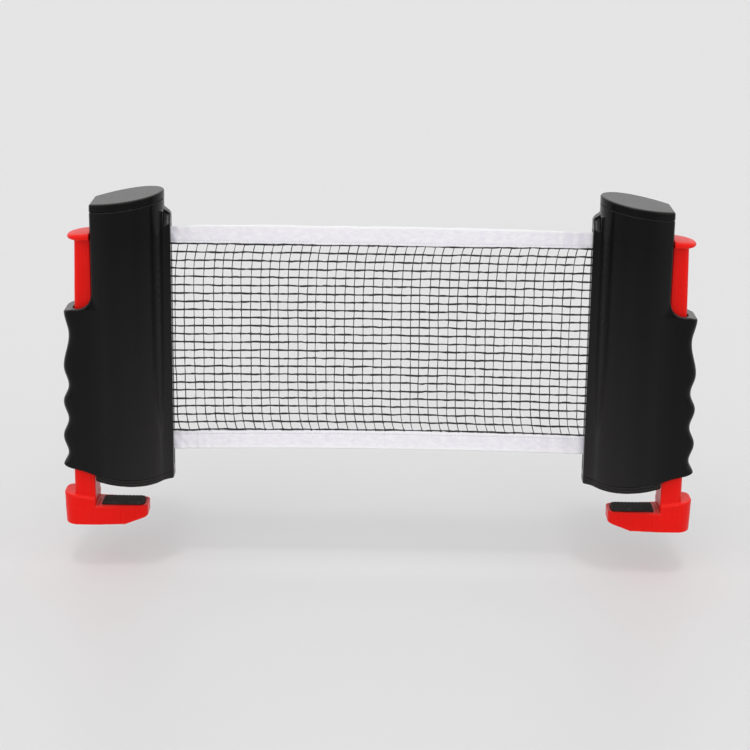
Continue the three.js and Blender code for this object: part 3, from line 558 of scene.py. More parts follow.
def dust_and_sheen_film(tree, place):
    """0 on clean skin: dust and painted sheen on faces that look up, and painted reflection low down on the
    side of the net.
    """
    # Painted sheen, partly dust: faces that look up are painted paler.
    dust_and_sheen_on_top = spread(tree, facing_up(tree), 0.0, DUST_AND_SHEEN_ON_TOP, 0.25, 0.90)
    parts = node(tree, "ShaderNodeSeparateXYZ", {"Vector": place}).outputs
    # Painted reflection: the skin is painted paler low down on the side of the net.
    painted_reflection_low = spread(tree, parts["Z"], 0.0, PAINTED_REFLECTION_BELOW, PAINTED_REFLECTION_TOP, 0.0)
    inward = spread(tree, maths(tree, "ABSOLUTE", parts["X"]), 0.25, 1.0, 0.186, 0.145)
    return maths(tree, "ADD", dust_and_sheen_on_top, maths(tree, "MULTIPLY", painted_reflection_low, inward))


def satin(tree, colour, edge_colour, gloss, grain, specular):
    """gloss is (smoothest, roughest); grain is the depth of the moulded texture in metres."""
    place = object_place(tree)
    cloud = noise(tree, place, scale=26.0, detail=4.0, roughness=0.6)
    flow = noise(tree, place, scale=(420, 420, 7), detail=3.0)
    pores = noise(tree, place, scale=2600.0, detail=2.0)
    specks = noise(tree, place, scale=900.0, detail=1.0)
    rubbed = maths(tree, "MULTIPLY", stored(tree, "worn_edge"), ramp(tree, cloud, (0.4, 0.1), (0.65, 1.0)))
    skin = blended(tree, cloud, tuple(v * 0.72 for v in colour), colour)
    # The film of dust, painted sheen and painted reflection is mixed into the skin colour.
    dusted_and_sheened = blended(tree, dust_and_sheen_film(tree, place), skin, DUST_AND_SHEEN_COLOUR)
    dusty = blended(tree, ramp(tree, specks, (0.70, 0.0), (0.76, 0.35)), dusted_and_sheened, edge_colour)
    mottled = maths(tree, "MULTIPLY", maths(tree, "ADD", cloud, flow), 0.5)
    return {
        "Base Color": blended(tree, rubbed, dusty, edge_colour),
        "Roughness": spread(tree, mottled, *gloss),
        "Normal": bump(tree, flow, 0.25, grain, over=bump(tree, pores, 0.5, grain)),
        "Specular IOR Level": specular,
    }

black_plastic = painted("black_moulded_plastic", lambda tree: satin(
    tree, colour=(0.0038, 0.0035, 0.0036), edge_colour=(0.017, 0.015, 0.014), gloss=(0.12, 0.28),
    grain=0.00002, specular=0.11))
cap_plastic = painted("grained_cap_plastic", lambda tree: satin(
    tree, colour=(0.0036, 0.0033, 0.0031), edge_colour=(0.020, 0.018, 0.017), gloss=(0.18, 0.34),
    grain=0.00003, specular=0.10))

# %% [markdown]
# ## Red moulded plastic
# The rod and the jaw are glossy red. Light goes a little way into such plastic, the gloss is wavy, and the
# rod carries fine lengthwise marks where it slides in its channel. Edges are a touch paler, and faces that
# look up get a painted highlight: they are painted a lighter red.

# %% Finish of the red plastic
def red_gloss(tree):
    place = object_place(tree)
    cloud = noise(tree, place, scale=45.0, detail=5.0, roughness=0.6)
    marks = noise(tree, place, scale=(1400, 1400, 22), detail=2.0)
    wavy = noise(tree, place, scale=260.0, detail=2.0)
    body = blended(tree, cloud, (0.74, 0.0045, 0.002), (0.86, 0.008, 0.004))
    scuffed = blended(tree, ramp(tree, marks, (0.66, 0.0), (0.78, 0.22)), body, (0.86, 0.06, 0.04))
    worn = maths(tree, "MULTIPLY", stored(tree, "worn_edge"), 0.25)
    edged = blended(tree, worn, scuffed, (0.90, 0.045, 0.03))
    # Painted highlight: faces that look up are painted a lighter red.
    faded = spread(tree, facing_up(tree), 0.0, 0.8, 0.3, 0.9)
    return {
        "Base Color": blended(tree, faded, edged, (1.0, 0.022, 0.014)),
        "Roughness": spread(tree, marks, 0.20, 0.40),
        "Normal": bump(tree, marks, 0.25, 0.00002, over=bump(tree, wavy, 0.3, 0.00004)),
        "Subsurface Weight": 0.06,
        "Subsurface Radius": (0.004, 0.001, 0.0008),
        "Specular IOR Level": 0.13,
    }

red_plastic = painted("red_moulded_plastic", red_gloss)

# %% [markdown]
# ## The body of a post
# In plan a post has a flat outer wall, flanks that bulge on a parabola to the widest place, and half an
# ellipse towards the net. A lip stands out of the round end and holds the slot for the net. Each side of the
# lip is one hollow arc that leaves the ellipse at a tangent, so its circle follows from the two curves.

# %% Plan of the post
WALL_HALF = 15.0
WIDEST_AT = 25.0
WALL_CORNER = 1.4
LIP_HALF = 5.0
LIP_END = 1.1
LIP_BLEND_TURN = math.radians(30)
LIP_ROOT = (WIDEST_AT + BODY_LENGTH) / 2

def hollow_arc():
    """Centre and radius, in plan, of the arc that carries the round end into the lip, and where it starts."""
    along = BODY_LENGTH - WIDEST_AT
    start = np.array([WIDEST_AT + along * math.cos(LIP_BLEND_TURN), HALF_DEPTH * math.sin(LIP_BLEND_TURN)])
    normal = np.array([math.cos(LIP_BLEND_TURN) / along, math.sin(LIP_BLEND_TURN) / HALF_DEPTH])
    normal /= np.linalg.norm(normal)
    radius = (start[1] - LIP_HALF) / (1 - normal[1])
    return start + normal * radius, radius, start[1]

ARC_CENTRE, ARC_RADIUS, ARC_START = hollow_arc()

def flank(x, y):
    share = 1 - x / WIDEST_AT
    flare = HALF_DEPTH - WALL_HALF
    return (np.abs(y) - HALF_DEPTH + flare * share ** 2) / np.sqrt(1 + (2 * flare / WIDEST_AT * share) ** 2)


def body_plan(x, y):
    nose = oval(x - WIDEST_AT, y, BODY_LENGTH - WIDEST_AT, HALF_DEPTH)
    return meet(np.where(x < WIDEST_AT, flank(x, y), nose), -x, WALL_CORNER)


def post_plan(x, y):
    """The body and the lip that stands out of its round end."""
    hollow = ARC_RADIUS - np.hypot(x - ARC_CENTRE[0], np.abs(y) - ARC_CENTRE[1])
    near_lip = np.maximum(np.abs(y) - ARC_START, LIP_ROOT - x)
    return np.minimum(body_plan(x, y), np.maximum(meet(hollow, x - LIP_REACH, LIP_END), near_lip))


def level(x, z):
    """Height over the sloping cap line that starts at 0 at the outer wall."""
    return (z - CAP_SLOPE * x) / math.hypot(1, CAP_SLOPE)

print(f"widest place {WIDEST_AT} mm from the outer wall, hollow arc of radius {ARC_RADIUS:.1f} mm")

# %% [markdown]
# ## The finger grip
# Outside the wall a grip carries four finger grooves between five ridges, and the clamp rod slides through
# it. Its skin follows a smooth wave, its rim is a collar round the rod, and a hollow sweep leads up to the
# wall. Its sides flow into the flanks of the post, and its underside climbs from the wall to a ridge.

# %% Shape of the grip
RIDGES = [9.5, 30.5, 54.5, 79.0, 117.0]
GROOVES = [18.5, 42.0, 65.5, 100.0]
GROOVE_DEPTH = 3.3
GRIP_LOW, GRIP_HIGH = 22.0, 19.0
GRIP_HALF = 14.4
GRIP_ROOT = 11.0
GRIP_CORNER = 6.5
SKIN_SLANT = 1.06
SMALL_FILLET, SIDE_FILLET = 0.3, 7.0
COLLAR = 118.5
COLLAR_DROP, COLLAR_START, COLLAR_RUN = 1.5, 13.4, 5.6
SWEEP = 10.5
UNDER_RISE, UNDER_SLANT = 0.245, 1.03

def grip_reach(z):
    """Outer wall to the skin of the grip: deep in the grooves, proud on the ridges."""
    stops = sorted([*((h, 0.0) for h in RIDGES), *((h, GROOVE_DEPTH) for h in GROOVES)])
    heights = np.linspace(RIDGES[0], RIDGES[-1], 600)
    index = np.clip(np.searchsorted([h for h, _ in stops], heights, side="right") - 1, 0, len(stops) - 2)
    start, end = np.array(stops)[index], np.array(stops)[index + 1]
    share = (heights - start[:, 0]) / (end[:, 0] - start[:, 0])
    depth = start[:, 1] + (end[:, 1] - start[:, 1]) * np.sin(share * math.pi / 2) ** 2
    line = GRIP_LOW + (GRIP_HIGH - GRIP_LOW) * (heights - RIDGES[0]) / (RIDGES[-1] - RIDGES[0])
    return np.interp(z, heights, line - depth)


def grip(x, y, z):
    skin = (-x - grip_reach(z)) / SKIN_SLANT
    fillet = SMALL_FILLET + (SIDE_FILLET - SMALL_FILLET) * np.clip((COLLAR + SWEEP - z) / SWEEP, 0, 1)
    plan = meet(skin, fuse(np.abs(y) - GRIP_HALF, flank(x, y), fillet), GRIP_CORNER)
    rim = COLLAR - COLLAR_DROP * np.clip((-x - COLLAR_START) / COLLAR_RUN, 0, 1.2)
    swept = fuse(z - rim, -x, SWEEP)
    under = (HOUSING_BOTTOM + UNDER_RISE * np.maximum(-x, 0) - z) / UNDER_SLANT
    whole = meet(meet(plan, swept, 0.9), under, 0.8)
    return np.maximum(whole, np.maximum(x - GRIP_ROOT, z - COLLAR - SWEEP))

print("grip reaches", [round(float(grip_reach(h)), 1) for h in (*RIDGES, *GROOVES)], "mm out")

# %% [markdown]
# ## The lip
# The lip is the part of the post that ends in the slot for the net. Its top slopes down to a bevelled end.
# The front cheek is scooped out down to a ledge that slants to the front, so the tape can be seen going in.

# %% Shape of the lip
SLOT_HALF = 1.2
LIP_TOP = NET_TOP + 10.2
LIP_SHOULDER = LIP_TOP + 1.6
LIP_CORNER = 1.6
SCOOP_FLOOR = NET_TOP + 4.6
SCOOP_RISE = 1.22
SCOOP_DEPTH = 2.9

def lip(x, y, z):
    fall = (LIP_SHOULDER - LIP_TOP) / (LIP_REACH - LIP_CORNER - BODY_LENGTH)
    slant = (z - LIP_SHOULDER + (x - BODY_LENGTH) * fall) / math.hypot(1, fall)
    corner = (z - LIP_TOP + (x - LIP_REACH + LIP_CORNER)) / math.hypot(1, 1)
    whole = meet(post_plan(x, y), np.maximum(slant, corner), 0.9)
    climb = SCOOP_RISE * np.minimum(y + LIP_HALF, SCOOP_DEPTH)
    ledge = (SCOOP_FLOOR + climb - z) / math.hypot(1, SCOOP_RISE)
    scoop = meet(meet(BODY_LENGTH - x, ledge, 2.4), y + SLOT_HALF, 0.3)
    return carve(whole, scoop, 0.5)

print(f"lip from {SCOOP_FLOOR:.1f} on its front cheek to {LIP_SHOULDER:.1f} mm on its back one")

# %% [markdown]
# ## The housing
# The shell is the body, the lip and the grip in one moulding, less the room for the net roll inside, the
# slot, the channel of the rod and the wider channel of the jaw's neck.

# %% Shape of the housing
WALL = 2.2
SHELL_DROP = 5.6
SLOT_TOP = NET_TOP + 2
SLOT_BOTTOM = 9.0
SLOT_START = 43.3
ROD_REACH, ROD_HALF = 13.0, 9.4
NECK_REACH, NECK_HALF = 15.4, 12.1
NECK_ROOM_TOP = 60.0

def housing(x, y, z):
    body = np.minimum(np.minimum(body_plan(x, y), lip(x, y, z)), grip(x, y, z))
    outside = meet(meet(body, level(x, z - (CAP_TOP - SHELL_DROP)), 0.55), HOUSING_BOTTOM - z, 0.5)
    rod_room = bar(x, y, -ROD_REACH, 0.0, ROD_HALF, 3.0)
    neck_room = meet(bar(x, y, -NECK_REACH, 0.0, NECK_HALF, 4.5), z - NECK_ROOM_TOP, 0.5)
    slot = meet(meet(np.abs(y) - SLOT_HALF, SLOT_START - x, 0.2), slab(z, SLOT_BOTTOM, SLOT_TOP, 0.4), 0.2)
    shell = carve(outside, fuse(rod_room, neck_room, 0.5), 0.7)
    return carve(carve(shell, body_plan(x, y) + WALL, 0.3), slot, 0.5)


housing_form = moulded(
    housing,
    [(-24, -8, 0.9), (-8, 0, 1.0), (0, 40, 1.3), (40, 54, 0.8)],
    [(-28, -10, 1.15), (-10, -5, 0.9), (-5, 5, 0.7), (5, 10, 0.9), (10, 28, 1.15)],
    [(3, 4.2, 0.6), (4.2, 6.2, 0.28), (6.2, 12, 0.9), (12, 112, 1.5), (112, 134, 1.0), (134, 174, 2.0),
     (174, 182, 0.8), (182, 194, 0.45)],
)
both_sides("moulded_housing", housing_form, black_plastic, "black_plastic", "post", "housing")

# %% [markdown]
# ## The cap
# A flat lid closes each post. It slopes up towards the net, its upper edge is rounded and a shallow rim
# below it enters the shell. It is moulded separately, so a fine shadow line shows between the two. A boss
# under it takes the reel's spindle in the left post and the net's anchor bar in the right one, and so does
# a boss on the cover plate further down.

# %% Shape of the cap
SPINDLE_X, SPINDLE_RADIUS = BODY_LENGTH / 2, 3.0
BAR_RADIUS, BAR_TO_WALL = 4.5, 4.8
BAR_X = BODY_LENGTH - WALL - BAR_TO_WALL - BAR_RADIUS
SOCKETS = {"left": (SPINDLE_X, SPINDLE_RADIUS), "right": (BAR_X, BAR_RADIUS)}
LID_EDGE, LID_DEPTH = 1.3, 5.3
RIM_START, RIM_END = 2.5, 4.0
RIM_DEPTH = 8.7
LID_UNDER = 3
BOSS_WALL = 2.5
BOSS_BOTTOM = 182.6

def cap(x, y, z, socket_x, socket_radius):
    plan = body_plan(x, y)
    under = level(x, (CAP_TOP - LID_DEPTH) - z + 2 * CAP_SLOPE * x)
    lid = meet(meet(plan, level(x, z - CAP_TOP), LID_EDGE), under, 0.4)
    rim = meet(slab(-plan, RIM_START, RIM_END, 0.4), level(x, z - CAP_TOP + LID_UNDER), 0.3)
    rim = meet(rim, (CAP_TOP - RIM_DEPTH + CAP_SLOPE * x) - z, 0.4)
    boss = meet(round_bar(x - socket_x, y, socket_radius + BOSS_WALL), BOSS_BOTTOM - z, 0.4)
    boss = meet(boss, level(x, z - CAP_TOP + LID_UNDER), 0.3)
    bore_top = CAP_TOP - LID_DEPTH + CAP_SLOPE * socket_x
    bore = meet(round_bar(x - socket_x, y, socket_radius + GAP), z - bore_top, 0.2)
    return carve(fuse(lid, fuse(rim, boss, 0.3), 0.4), bore, 0.3)


def post_pieces(word, shape, spans, material, slot, node_word):
    """A piece that differs between the two posts only in the place and the size of its boss."""
    for side, socket in SOCKETS.items():
        form = moulded(lambda x, y, z: shape(x, y, z, *socket), *spans)
        piece = moulded_object(f"{side}_{word}", form, side, material)
        settle(piece, f"{side}_post", slot, f"{side}_{node_word}")
        print(f"{side} {word}: {2 * len(form[1])} triangles")

cap_spans = [(-2, 46, 1.0), (46, 50, 0.6)], [(-28, 28, 1.0)], [(178, 182, 0.9), (182, 199, 0.45)]
post_pieces("moulded_cap", cap, cap_spans, cap_plastic, "cap_plastic", "top_cap")

# %% [markdown]
# ## The cover plate and its pad
# The underside is closed by a plate with the same outline as the post and its lip, and a fine groove runs
# round its edge. Three screws hold it from below, and its recess takes a thin rubber pad.

# %% Shape of the cover plate
PLATE_TOP = 4.4
PLATE_INNER = 3.4
PLATE_RIM_TOP = 7.8
PLATE_BOSS_TOP = 9.4
GROOVE_HEIGHT, GROOVE_HALF, GROOVE_IN = 2.5, 0.25, 0.45
PAD_BORDER, PAD_RECESS = 3, 2.3
BORE_BOTTOM = 2.6
SCREW_PLACES = [(5.3, 0.0), (33.0, 19.47), (33.0, -19.47)]
SCREW_POST, SCREW_POST_TOP = 3.5, 8.0
SCREW_HOLE, HEAD_HOLE, HEAD_HOLE_TOP = 1.7, 2.7, 4.8

def cover_plate(x, y, z, socket_x, socket_radius):
    plan, body = post_plan(x, y), body_plan(x, y)
    whole = meet(meet(plan, z - PLATE_TOP, 0.4), PLATE_BOTTOM - z, 0.5)
    whole = carve(whole, meet(np.abs(z - GROOVE_HEIGHT) - GROOVE_HALF, -plan - GROOVE_IN, 0.1), 0.15)
    rim = meet(slab(-body, RIM_START, RIM_END, 0.4), slab(z, PLATE_INNER, PLATE_RIM_TOP, 0.4), 0.3)
    boss = round_bar(x - socket_x, y, socket_radius + BOSS_WALL)
    boss = meet(boss, slab(z, PLATE_INNER, PLATE_BOSS_TOP, 0.4), 0.3)
    whole = fuse(fuse(whole, rim, 0.3), boss, 0.4)
    for px, py in SCREW_PLACES:
        post = meet(round_bar(x - px, y - py, SCREW_POST), body + RIM_START, 0.3)
        whole = fuse(whole, meet(post, slab(z, PLATE_INNER, SCREW_POST_TOP, 0.3), 0.3), 0.3)
    whole = carve(whole, meet(body + PAD_BORDER, z - PAD_RECESS, 0.2), 0.3)
    for px, py in SCREW_PLACES:
        whole = carve(whole, round_bar(x - px, y - py, SCREW_HOLE), 0.2)
        whole = carve(whole, meet(round_bar(x - px, y - py, HEAD_HOLE), z - HEAD_HOLE_TOP, 0.2), 0.2)
    bore = meet(round_bar(x - socket_x, y, socket_radius + GAP), BORE_BOTTOM - z, 0.2)
    return carve(whole, bore, 0.3)

plate_spans = ([(-2, 46, 0.95), (46, 54, 0.7)], [(-28, 28, 0.95)],
               [(-1, 1.9, 0.45), (1.9, 3.1, 0.17), (3.1, 6, 0.4), (6, 11, 0.8)])
post_pieces("cover_plate", cover_plate, plate_spans, black_plastic, "black_plastic", "base_plate")

# %% [markdown]
# ## The push rod
# The rod is a bar with rounded outer corners that widens from the thumb plate to the grip. The thumb plate
# is a half oval with a rounded rim and a top that falls towards its outer end, and a hollow fillet carries
# it into the bar. A pocket at the back holds the spring, and a tongue below goes into the jaw.

# %% Shape of the rod
ROD_WALL_GAP = 0.5
STEM_FOOT, STEM_HEAD, STEM_HALF = 12.6, 11.0, 9.0
TAPER_BOTTOM, TAPER_TOP = 100.0, THUMB_TOP - 3.6
THUMB_HALF, THUMB_THICK = 13.6, 4.6
THUMB_MIDDLE = 5.5
THUMB_RISE, THUMB_FALL, THUMB_CROWN = 0.6, 0.13, 0.0035
SPRING_RADIUS, SPRING_WIRE = 2.9, 1.2
SPRING_X = -ROD_WALL_GAP - GAP - SPRING_RADIUS - SPRING_WIRE / 2
POCKET_HALF, POCKET_BOTTOM, POCKET_TOP = 3.9, 45.5, 114.0
TONGUE_X = -(STEM_FOOT + ROD_WALL_GAP) / 2
TONGUE_THICK, TONGUE_HALF, TONGUE_LENGTH = 3, 6, 14
PIN_HEIGHT = NECK_TOP - 7
PIN_HOLE = 1.8

def thumb_plate(x, y, z):
    plan = oval(np.minimum(x + THUMB_MIDDLE, 0), y, THUMB_REACH - THUMB_MIDDLE, THUMB_HALF)
    top = THUMB_TOP + THUMB_RISE + THUMB_FALL * x - THUMB_CROWN * ((x + 6) ** 2 + y ** 2)
    rounded = meet(meet(plan, z - top, 1.7), THUMB_TOP - THUMB_THICK - z, 1.2)
    return meet(rounded, x + ROD_WALL_GAP, 0.4)


def push_rod(x, y, z):
    reach = np.interp(z, [TAPER_BOTTOM, TAPER_TOP], [STEM_FOOT, STEM_HEAD])
    stem = bar(x, y, -reach, -ROD_WALL_GAP, STEM_HALF, 3.0, 0.4)
    stem = meet(stem, slab(z, NECK_TOP + GAP, THUMB_TOP - 2, 0.4), 0.4)
    tongue = slab(x, TONGUE_X - TONGUE_THICK, TONGUE_X + TONGUE_THICK, 0.5)
    tongue = meet(tongue, np.abs(y) - TONGUE_HALF, 0.5)
    tongue = meet(tongue, slab(z, NECK_TOP - TONGUE_LENGTH, NECK_TOP + 1.3, 0.4), 0.5)
    whole = fuse(fuse(stem, thumb_plate(x, y, z), 2.0), tongue, 0.3)
    whole = meet(whole, x + ROD_WALL_GAP, 0.4)
    pocket = meet(SPRING_X - POCKET_HALF - x, np.abs(y) - POCKET_HALF, 1.0)
    pocket = meet(pocket, slab(z, POCKET_BOTTOM, POCKET_TOP, 1.0), 0.5)
    return carve(carve(whole, pocket, 0.4), round_bar(x - TONGUE_X, z - PIN_HEIGHT, PIN_HOLE), 0.3)


rod_form = moulded(
    push_rod, [(-18, 1, 0.8)], [(-15, 15, 0.8)],
    [(27, 48, 0.9), (48, 110, 1.5), (110, 118, 0.9), (118, 160, 1.5), (160, 171, 0.6)],
)
both_sides("red_push_rod", rod_form, red_plastic, "red_plastic", "clamp", "push_rod")

# %% [markdown]
# ## The jaw
# The foot is a block with a round outer end and slightly tapering sides. Its top slopes to the neck, and the
# neck takes the rod's tongue and a cross pin. The arm reaches inward below the post, thinner towards its
# tip, with a recess for the rubber pad on top and pockets below that save plastic.

# %% Shape of the jaw
JAW_CREST, CREST_FALL, CREST_SLANT = -9.8, 3.2, 1.01
ARM_TOP = -18.6
JAW_HALF, TIP_HALF = 13.8, 10.5
FOOT_CORNER, TIP_CORNER = 10.0, 4.0
JAW_WALL_GAP = 0.6
NARROW_END = 3.4
JAW_NECK_REACH, JAW_NECK_HALF, JAW_NECK_FOOT = 15.0, 11.7, -16.0
TIP_START, TIP_RUN, TIP_RISE, TIP_SLANT = 18.7, 15.3, 5.5, 1.06
PAD_START, PAD_END, PAD_HALF, PAD_FLOOR = 3.0, 31.4, 7.9, -19.4
POCKETS = ((2.2, 29.6), (-15.9, -2.2))
POCKET_RIB, POCKET_WIDTH, POCKET_ROOF = 1.1, 8.3, 21.6

def jaw_plan(x, y, z):
    lower = np.clip((JAW_CREST - z) / (JAW_CREST - JAW_BOTTOM), 0, 1.05)
    v = y * JAW_HALF / (JAW_HALF - lower)
    u = np.where(x < 0, x * JAW_REACH / (JAW_REACH - lower), x)
    narrow = (JAW_HALF - TIP_HALF) * np.clip((u + JAW_WALL_GAP) / (ARM_REACH - NARROW_END), 0, 1.2)
    return meet(meet(np.abs(v) - JAW_HALF + narrow, -u - JAW_REACH, FOOT_CORNER), u - ARM_REACH, TIP_CORNER)


def clamp_jaw(x, y, z):
    plan = jaw_plan(x, y, z)
    slant = (z - JAW_CREST + (x + JAW_REACH) * CREST_FALL / (JAW_REACH - JAW_WALL_GAP)) / CREST_SLANT
    foot = meet(meet(plan, slant, 1.1), x + JAW_WALL_GAP, 0.5)
    arm = meet(plan, z - ARM_TOP, 0.6)
    tip = (JAW_BOTTOM + (x - TIP_START) * TIP_RISE / TIP_RUN - z) / TIP_SLANT
    whole = meet(fuse(foot, arm, 0.4), np.maximum(JAW_BOTTOM - z, tip), 0.9)
    neck = bar(x, y, -JAW_NECK_REACH, -JAW_WALL_GAP, JAW_NECK_HALF, 4.5, 0.4)
    whole = fuse(whole, meet(neck, slab(z, JAW_NECK_FOOT, NECK_TOP, 0.4), 0.4), 1.1)
    seat = meet(bar(-x, y, -PAD_END, -PAD_START, PAD_HALF, 3.0), PAD_FLOOR - z, 0.2)
    whole = carve(whole, seat, 0.25)
    for start, end in POCKETS:
        room = meet(slab(x, start, end, 0.6), slab(np.abs(y), POCKET_RIB, POCKET_WIDTH, 0.6), 0.6)
        whole = carve(whole, meet(room, z + POCKET_ROOF, 0.6), 0.3)
    socket = slab(x, TONGUE_X - TONGUE_THICK - GAP, TONGUE_X + TONGUE_THICK + GAP, 0.5)
    socket = meet(socket, np.abs(y) - TONGUE_HALF - GAP, 0.5)
    whole = carve(whole, meet(socket, NECK_TOP - TONGUE_LENGTH - GAP - z, 0.3), 0.3)
    return carve(whole, round_bar(x - TONGUE_X, z - PIN_HEIGHT, PIN_HOLE), 0.3)


jaw_form = moulded(
    clamp_jaw, [(-24, 36, 0.85)], [(-15, 15, 0.85)], [(-33, -8, 0.8), (-8, 26, 1.2), (26, 43, 0.8)],
)
both_sides("red_clamp_jaw", jaw_form, red_plastic, "red_plastic", "clamp", "clamp_jaw")

# %% [markdown]
# ## Rubber
# The pad under a post and the pad on the jaw are soft black rubber with a dull, slightly dusty skin and
# shallow ribs for grip.

# %% Pads
RIB_HEIGHT = 0.12
POST_RIB_STEP, JAW_RIB_STEP = 3, 2.4
POST_PAD_TOP, JAW_PAD_TOP = 2.0, -17.12

def rubber(tree):
    place = object_place(tree)
    dust = noise(tree, place, scale=120.0, detail=6.0, roughness=0.7)
    grain = noise(tree, place, scale=1800.0, detail=2.0)
    dusty = ramp(tree, dust, (0.45, 0.0), (0.75, 1.0))
    return {
        "Base Color": blended(tree, dusty, (0.020, 0.020, 0.020), (0.055, 0.053, 0.050)),
        "Roughness": spread(tree, dust, 0.75, 0.95),
        "Normal": bump(tree, grain, 0.6, 0.00005),
    }

soft_rubber = painted("soft_black_rubber", rubber)

def post_pad(x, y, z):
    ribs = RIB_HEIGHT * np.cos(y * 2 * math.pi / POST_RIB_STEP)
    outline = body_plan(x, y) + (PAD_BORDER + GAP)
    return meet(meet(outline, z - POST_PAD_TOP, 0.4), ribs + RIB_HEIGHT - z, 0.3)


def jaw_pad(x, y, z):
    ribs = RIB_HEIGHT * np.cos(x * 2 * math.pi / JAW_RIB_STEP)
    pad = bar(-x, y, GAP - PAD_END, -GAP - PAD_START, PAD_HALF - GAP, 3.0, 0.4)
    return meet(meet(pad, z - JAW_PAD_TOP + ribs, 0.5), PAD_FLOOR + GAP - z, 0.3)

post_pad_form = moulded(post_pad, [(0, 46, 0.7)], [(-26, 26, 0.6)], [(-0.6, 2.6, 0.4)])
both_sides("rubber_table_pad", post_pad_form, soft_rubber, "rubber", "post", "base_pad")
jaw_pad_form = moulded(jaw_pad, [(2, 33, 0.5)], [(-9, 9, 0.6)], [(-19.7, -16.4, 0.4)])
both_sides("rubber_jaw_pad", jaw_pad_form, soft_rubber, "rubber", "clamp", "jaw_pad")

# %% [markdown]
# ## Steel
# Springs, screws, pins and the spindle are drawn steel: bright, with fine upright lines and slightly uneven
# gloss.

# %% Finish of the steel
def drawn_steel(tree):
    place = object_place(tree)
    cloud = noise(tree, place, scale=300.0, detail=4.0)
    drawn = noise(tree, place, scale=(5000, 5000, 200), detail=2.0)
    return {
        "Base Color": blended(tree, cloud, (0.42, 0.43, 0.44), (0.62, 0.62, 0.61)),
        "Roughness": spread(tree, drawn, 0.22, 0.42),
        "Metallic": 1.0,
    }

steel = painted("drawn_steel", drawn_steel)

# %% [markdown]
# ## Growing pieces with Geometry Nodes
# What repeats or follows a path is left to Geometry Nodes. Each tree starts with named inputs for its sizes
# and ends by making its copies real and dressing them. The tree is run once on a small start mesh, and the
# result is kept as a plain mesh.

# %% Start, finish and run a tree
def new_geometry_tree(name, sizes):
    """An empty tree with a geometry input and output and named number inputs."""
    tree = bpy.data.node_groups.new(name, "GeometryNodeTree")
    for way in ("INPUT", "OUTPUT"):
        tree.interface.new_socket("Geometry", in_out=way, socket_type="NodeSocketGeometry")
    for word in sizes:
        tree.interface.new_socket(word, in_out="INPUT", socket_type="NodeSocketFloat")
    tree.interface.new_socket("Material", in_out="INPUT", socket_type="NodeSocketMaterial")
    return tree, node(tree, "NodeGroupInput").outputs


def finish_tree(tree, geometry, material):
    real = node(tree, "GeometryNodeRealizeInstances", {"Geometry": geometry})
    dressed = node(tree, "GeometryNodeSetMaterial", {"Geometry": real.outputs[0], "Material": material})
    node(tree, "NodeGroupOutput", {"Geometry": dressed.outputs[0]})
    return tree


def line_mesh(name, points, edges):
    """A start mesh of points, in metres, and of edges between them."""
    mesh = bpy.data.meshes.new(name)
    mesh.from_pydata(np.array(points).tolist(), edges, [])
    return mesh


def grown(name, tree, start_mesh, values):
    """Runs a tree on a mesh and returns the result as a plain object."""
    seed = linked(name + "_seed", start_mesh)
    modifier = seed.modifiers.new(tree.name, "NODES")
    modifier.node_group = tree
    inputs = {item.name: item.identifier for item in tree.interface.items_tree if item.in_out == "INPUT"}
    for word, value in values.items():
        modifier[inputs[word]] = value
    seed.update_tag()
    view = bpy.context.evaluated_depsgraph_get()
    mesh = bpy.data.meshes.new_from_object(seed.evaluated_get(view), depsgraph=view)
    mesh.name = name
    seed.modifiers.remove(modifier)
    bpy.data.objects.remove(seed)
    print(f"{name}: {len(mesh.polygons)} faces")
    return smoothed(linked(name, mesh))

print("tree helpers ready")

# %% [markdown]
# ## Springs
# A spring is a wire along a helix, so the Spiral curve gives the path and Curve to Mesh sweeps a round wire
# along it. Sizes are inputs of the tree, and each spring sets its own. A clamp spring is squeezed between
# the post and the clamp; its placement is baked into its mesh.

# %% Wind the springs
CLAMP_TURNS = 13
WINDING_RADIUS, WINDING_WIRE, WINDING_TURNS = 5.2, 0.9, 60

def spring_tree():
    tree, inputs = new_geometry_tree("coil_spring", ["Turns", "Radius", "Length", "Wire", "X", "Bottom"])
    path = node(tree, "GeometryNodeCurveSpiral", {
        "Resolution": 28, "Rotations": inputs["Turns"], "Start Radius": inputs["Radius"],
        "End Radius": inputs["Radius"], "Height": inputs["Length"]})
    place = node(tree, "ShaderNodeCombineXYZ", {"X": inputs["X"], "Z": inputs["Bottom"]})
    moved = node(tree, "GeometryNodeTransform", {
        "Geometry": path.outputs[0], "Translation": place.outputs[0]})
    half = maths(tree, "MULTIPLY", inputs["Wire"], 0.5)
    ring = node(tree, "GeometryNodeCurvePrimitiveCircle", {"Resolution": 10, "Radius": half})
    wire = node(tree, "GeometryNodeCurveToMesh", {
        "Curve": moved.outputs[0], "Profile Curve": ring.outputs[0], "Fill Caps": True})
    return finish_tree(tree, wire.outputs[0], inputs["Material"])

spring_nodes = spring_tree()

def spring(name, x, node_word, radius, wire, turns):
    """A spring that fills the height of its node."""
    bottom, top = low(node_word, 2), high(node_word, 2)
    made = grown(name, spring_nodes, bpy.data.meshes.new(name + "_start"), {
        "Turns": float(turns), "Radius": radius * MM, "Length": (top - bottom - wire) * MM, "Wire": wire * MM,
        "X": x * MM, "Bottom": (bottom + wire / 2) * MM, "Material": steel})
    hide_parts(node_word)
    return made

for side, sign in zip(SIDES, (-1, 1)):
    word = f"{side}_clamp_spring"
    x = sign * (POST_X - SPRING_X)
    coil = spring(f"{side}_coil_spring", x, word, SPRING_RADIUS, SPRING_WIRE, CLAMP_TURNS)
    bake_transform(coil)

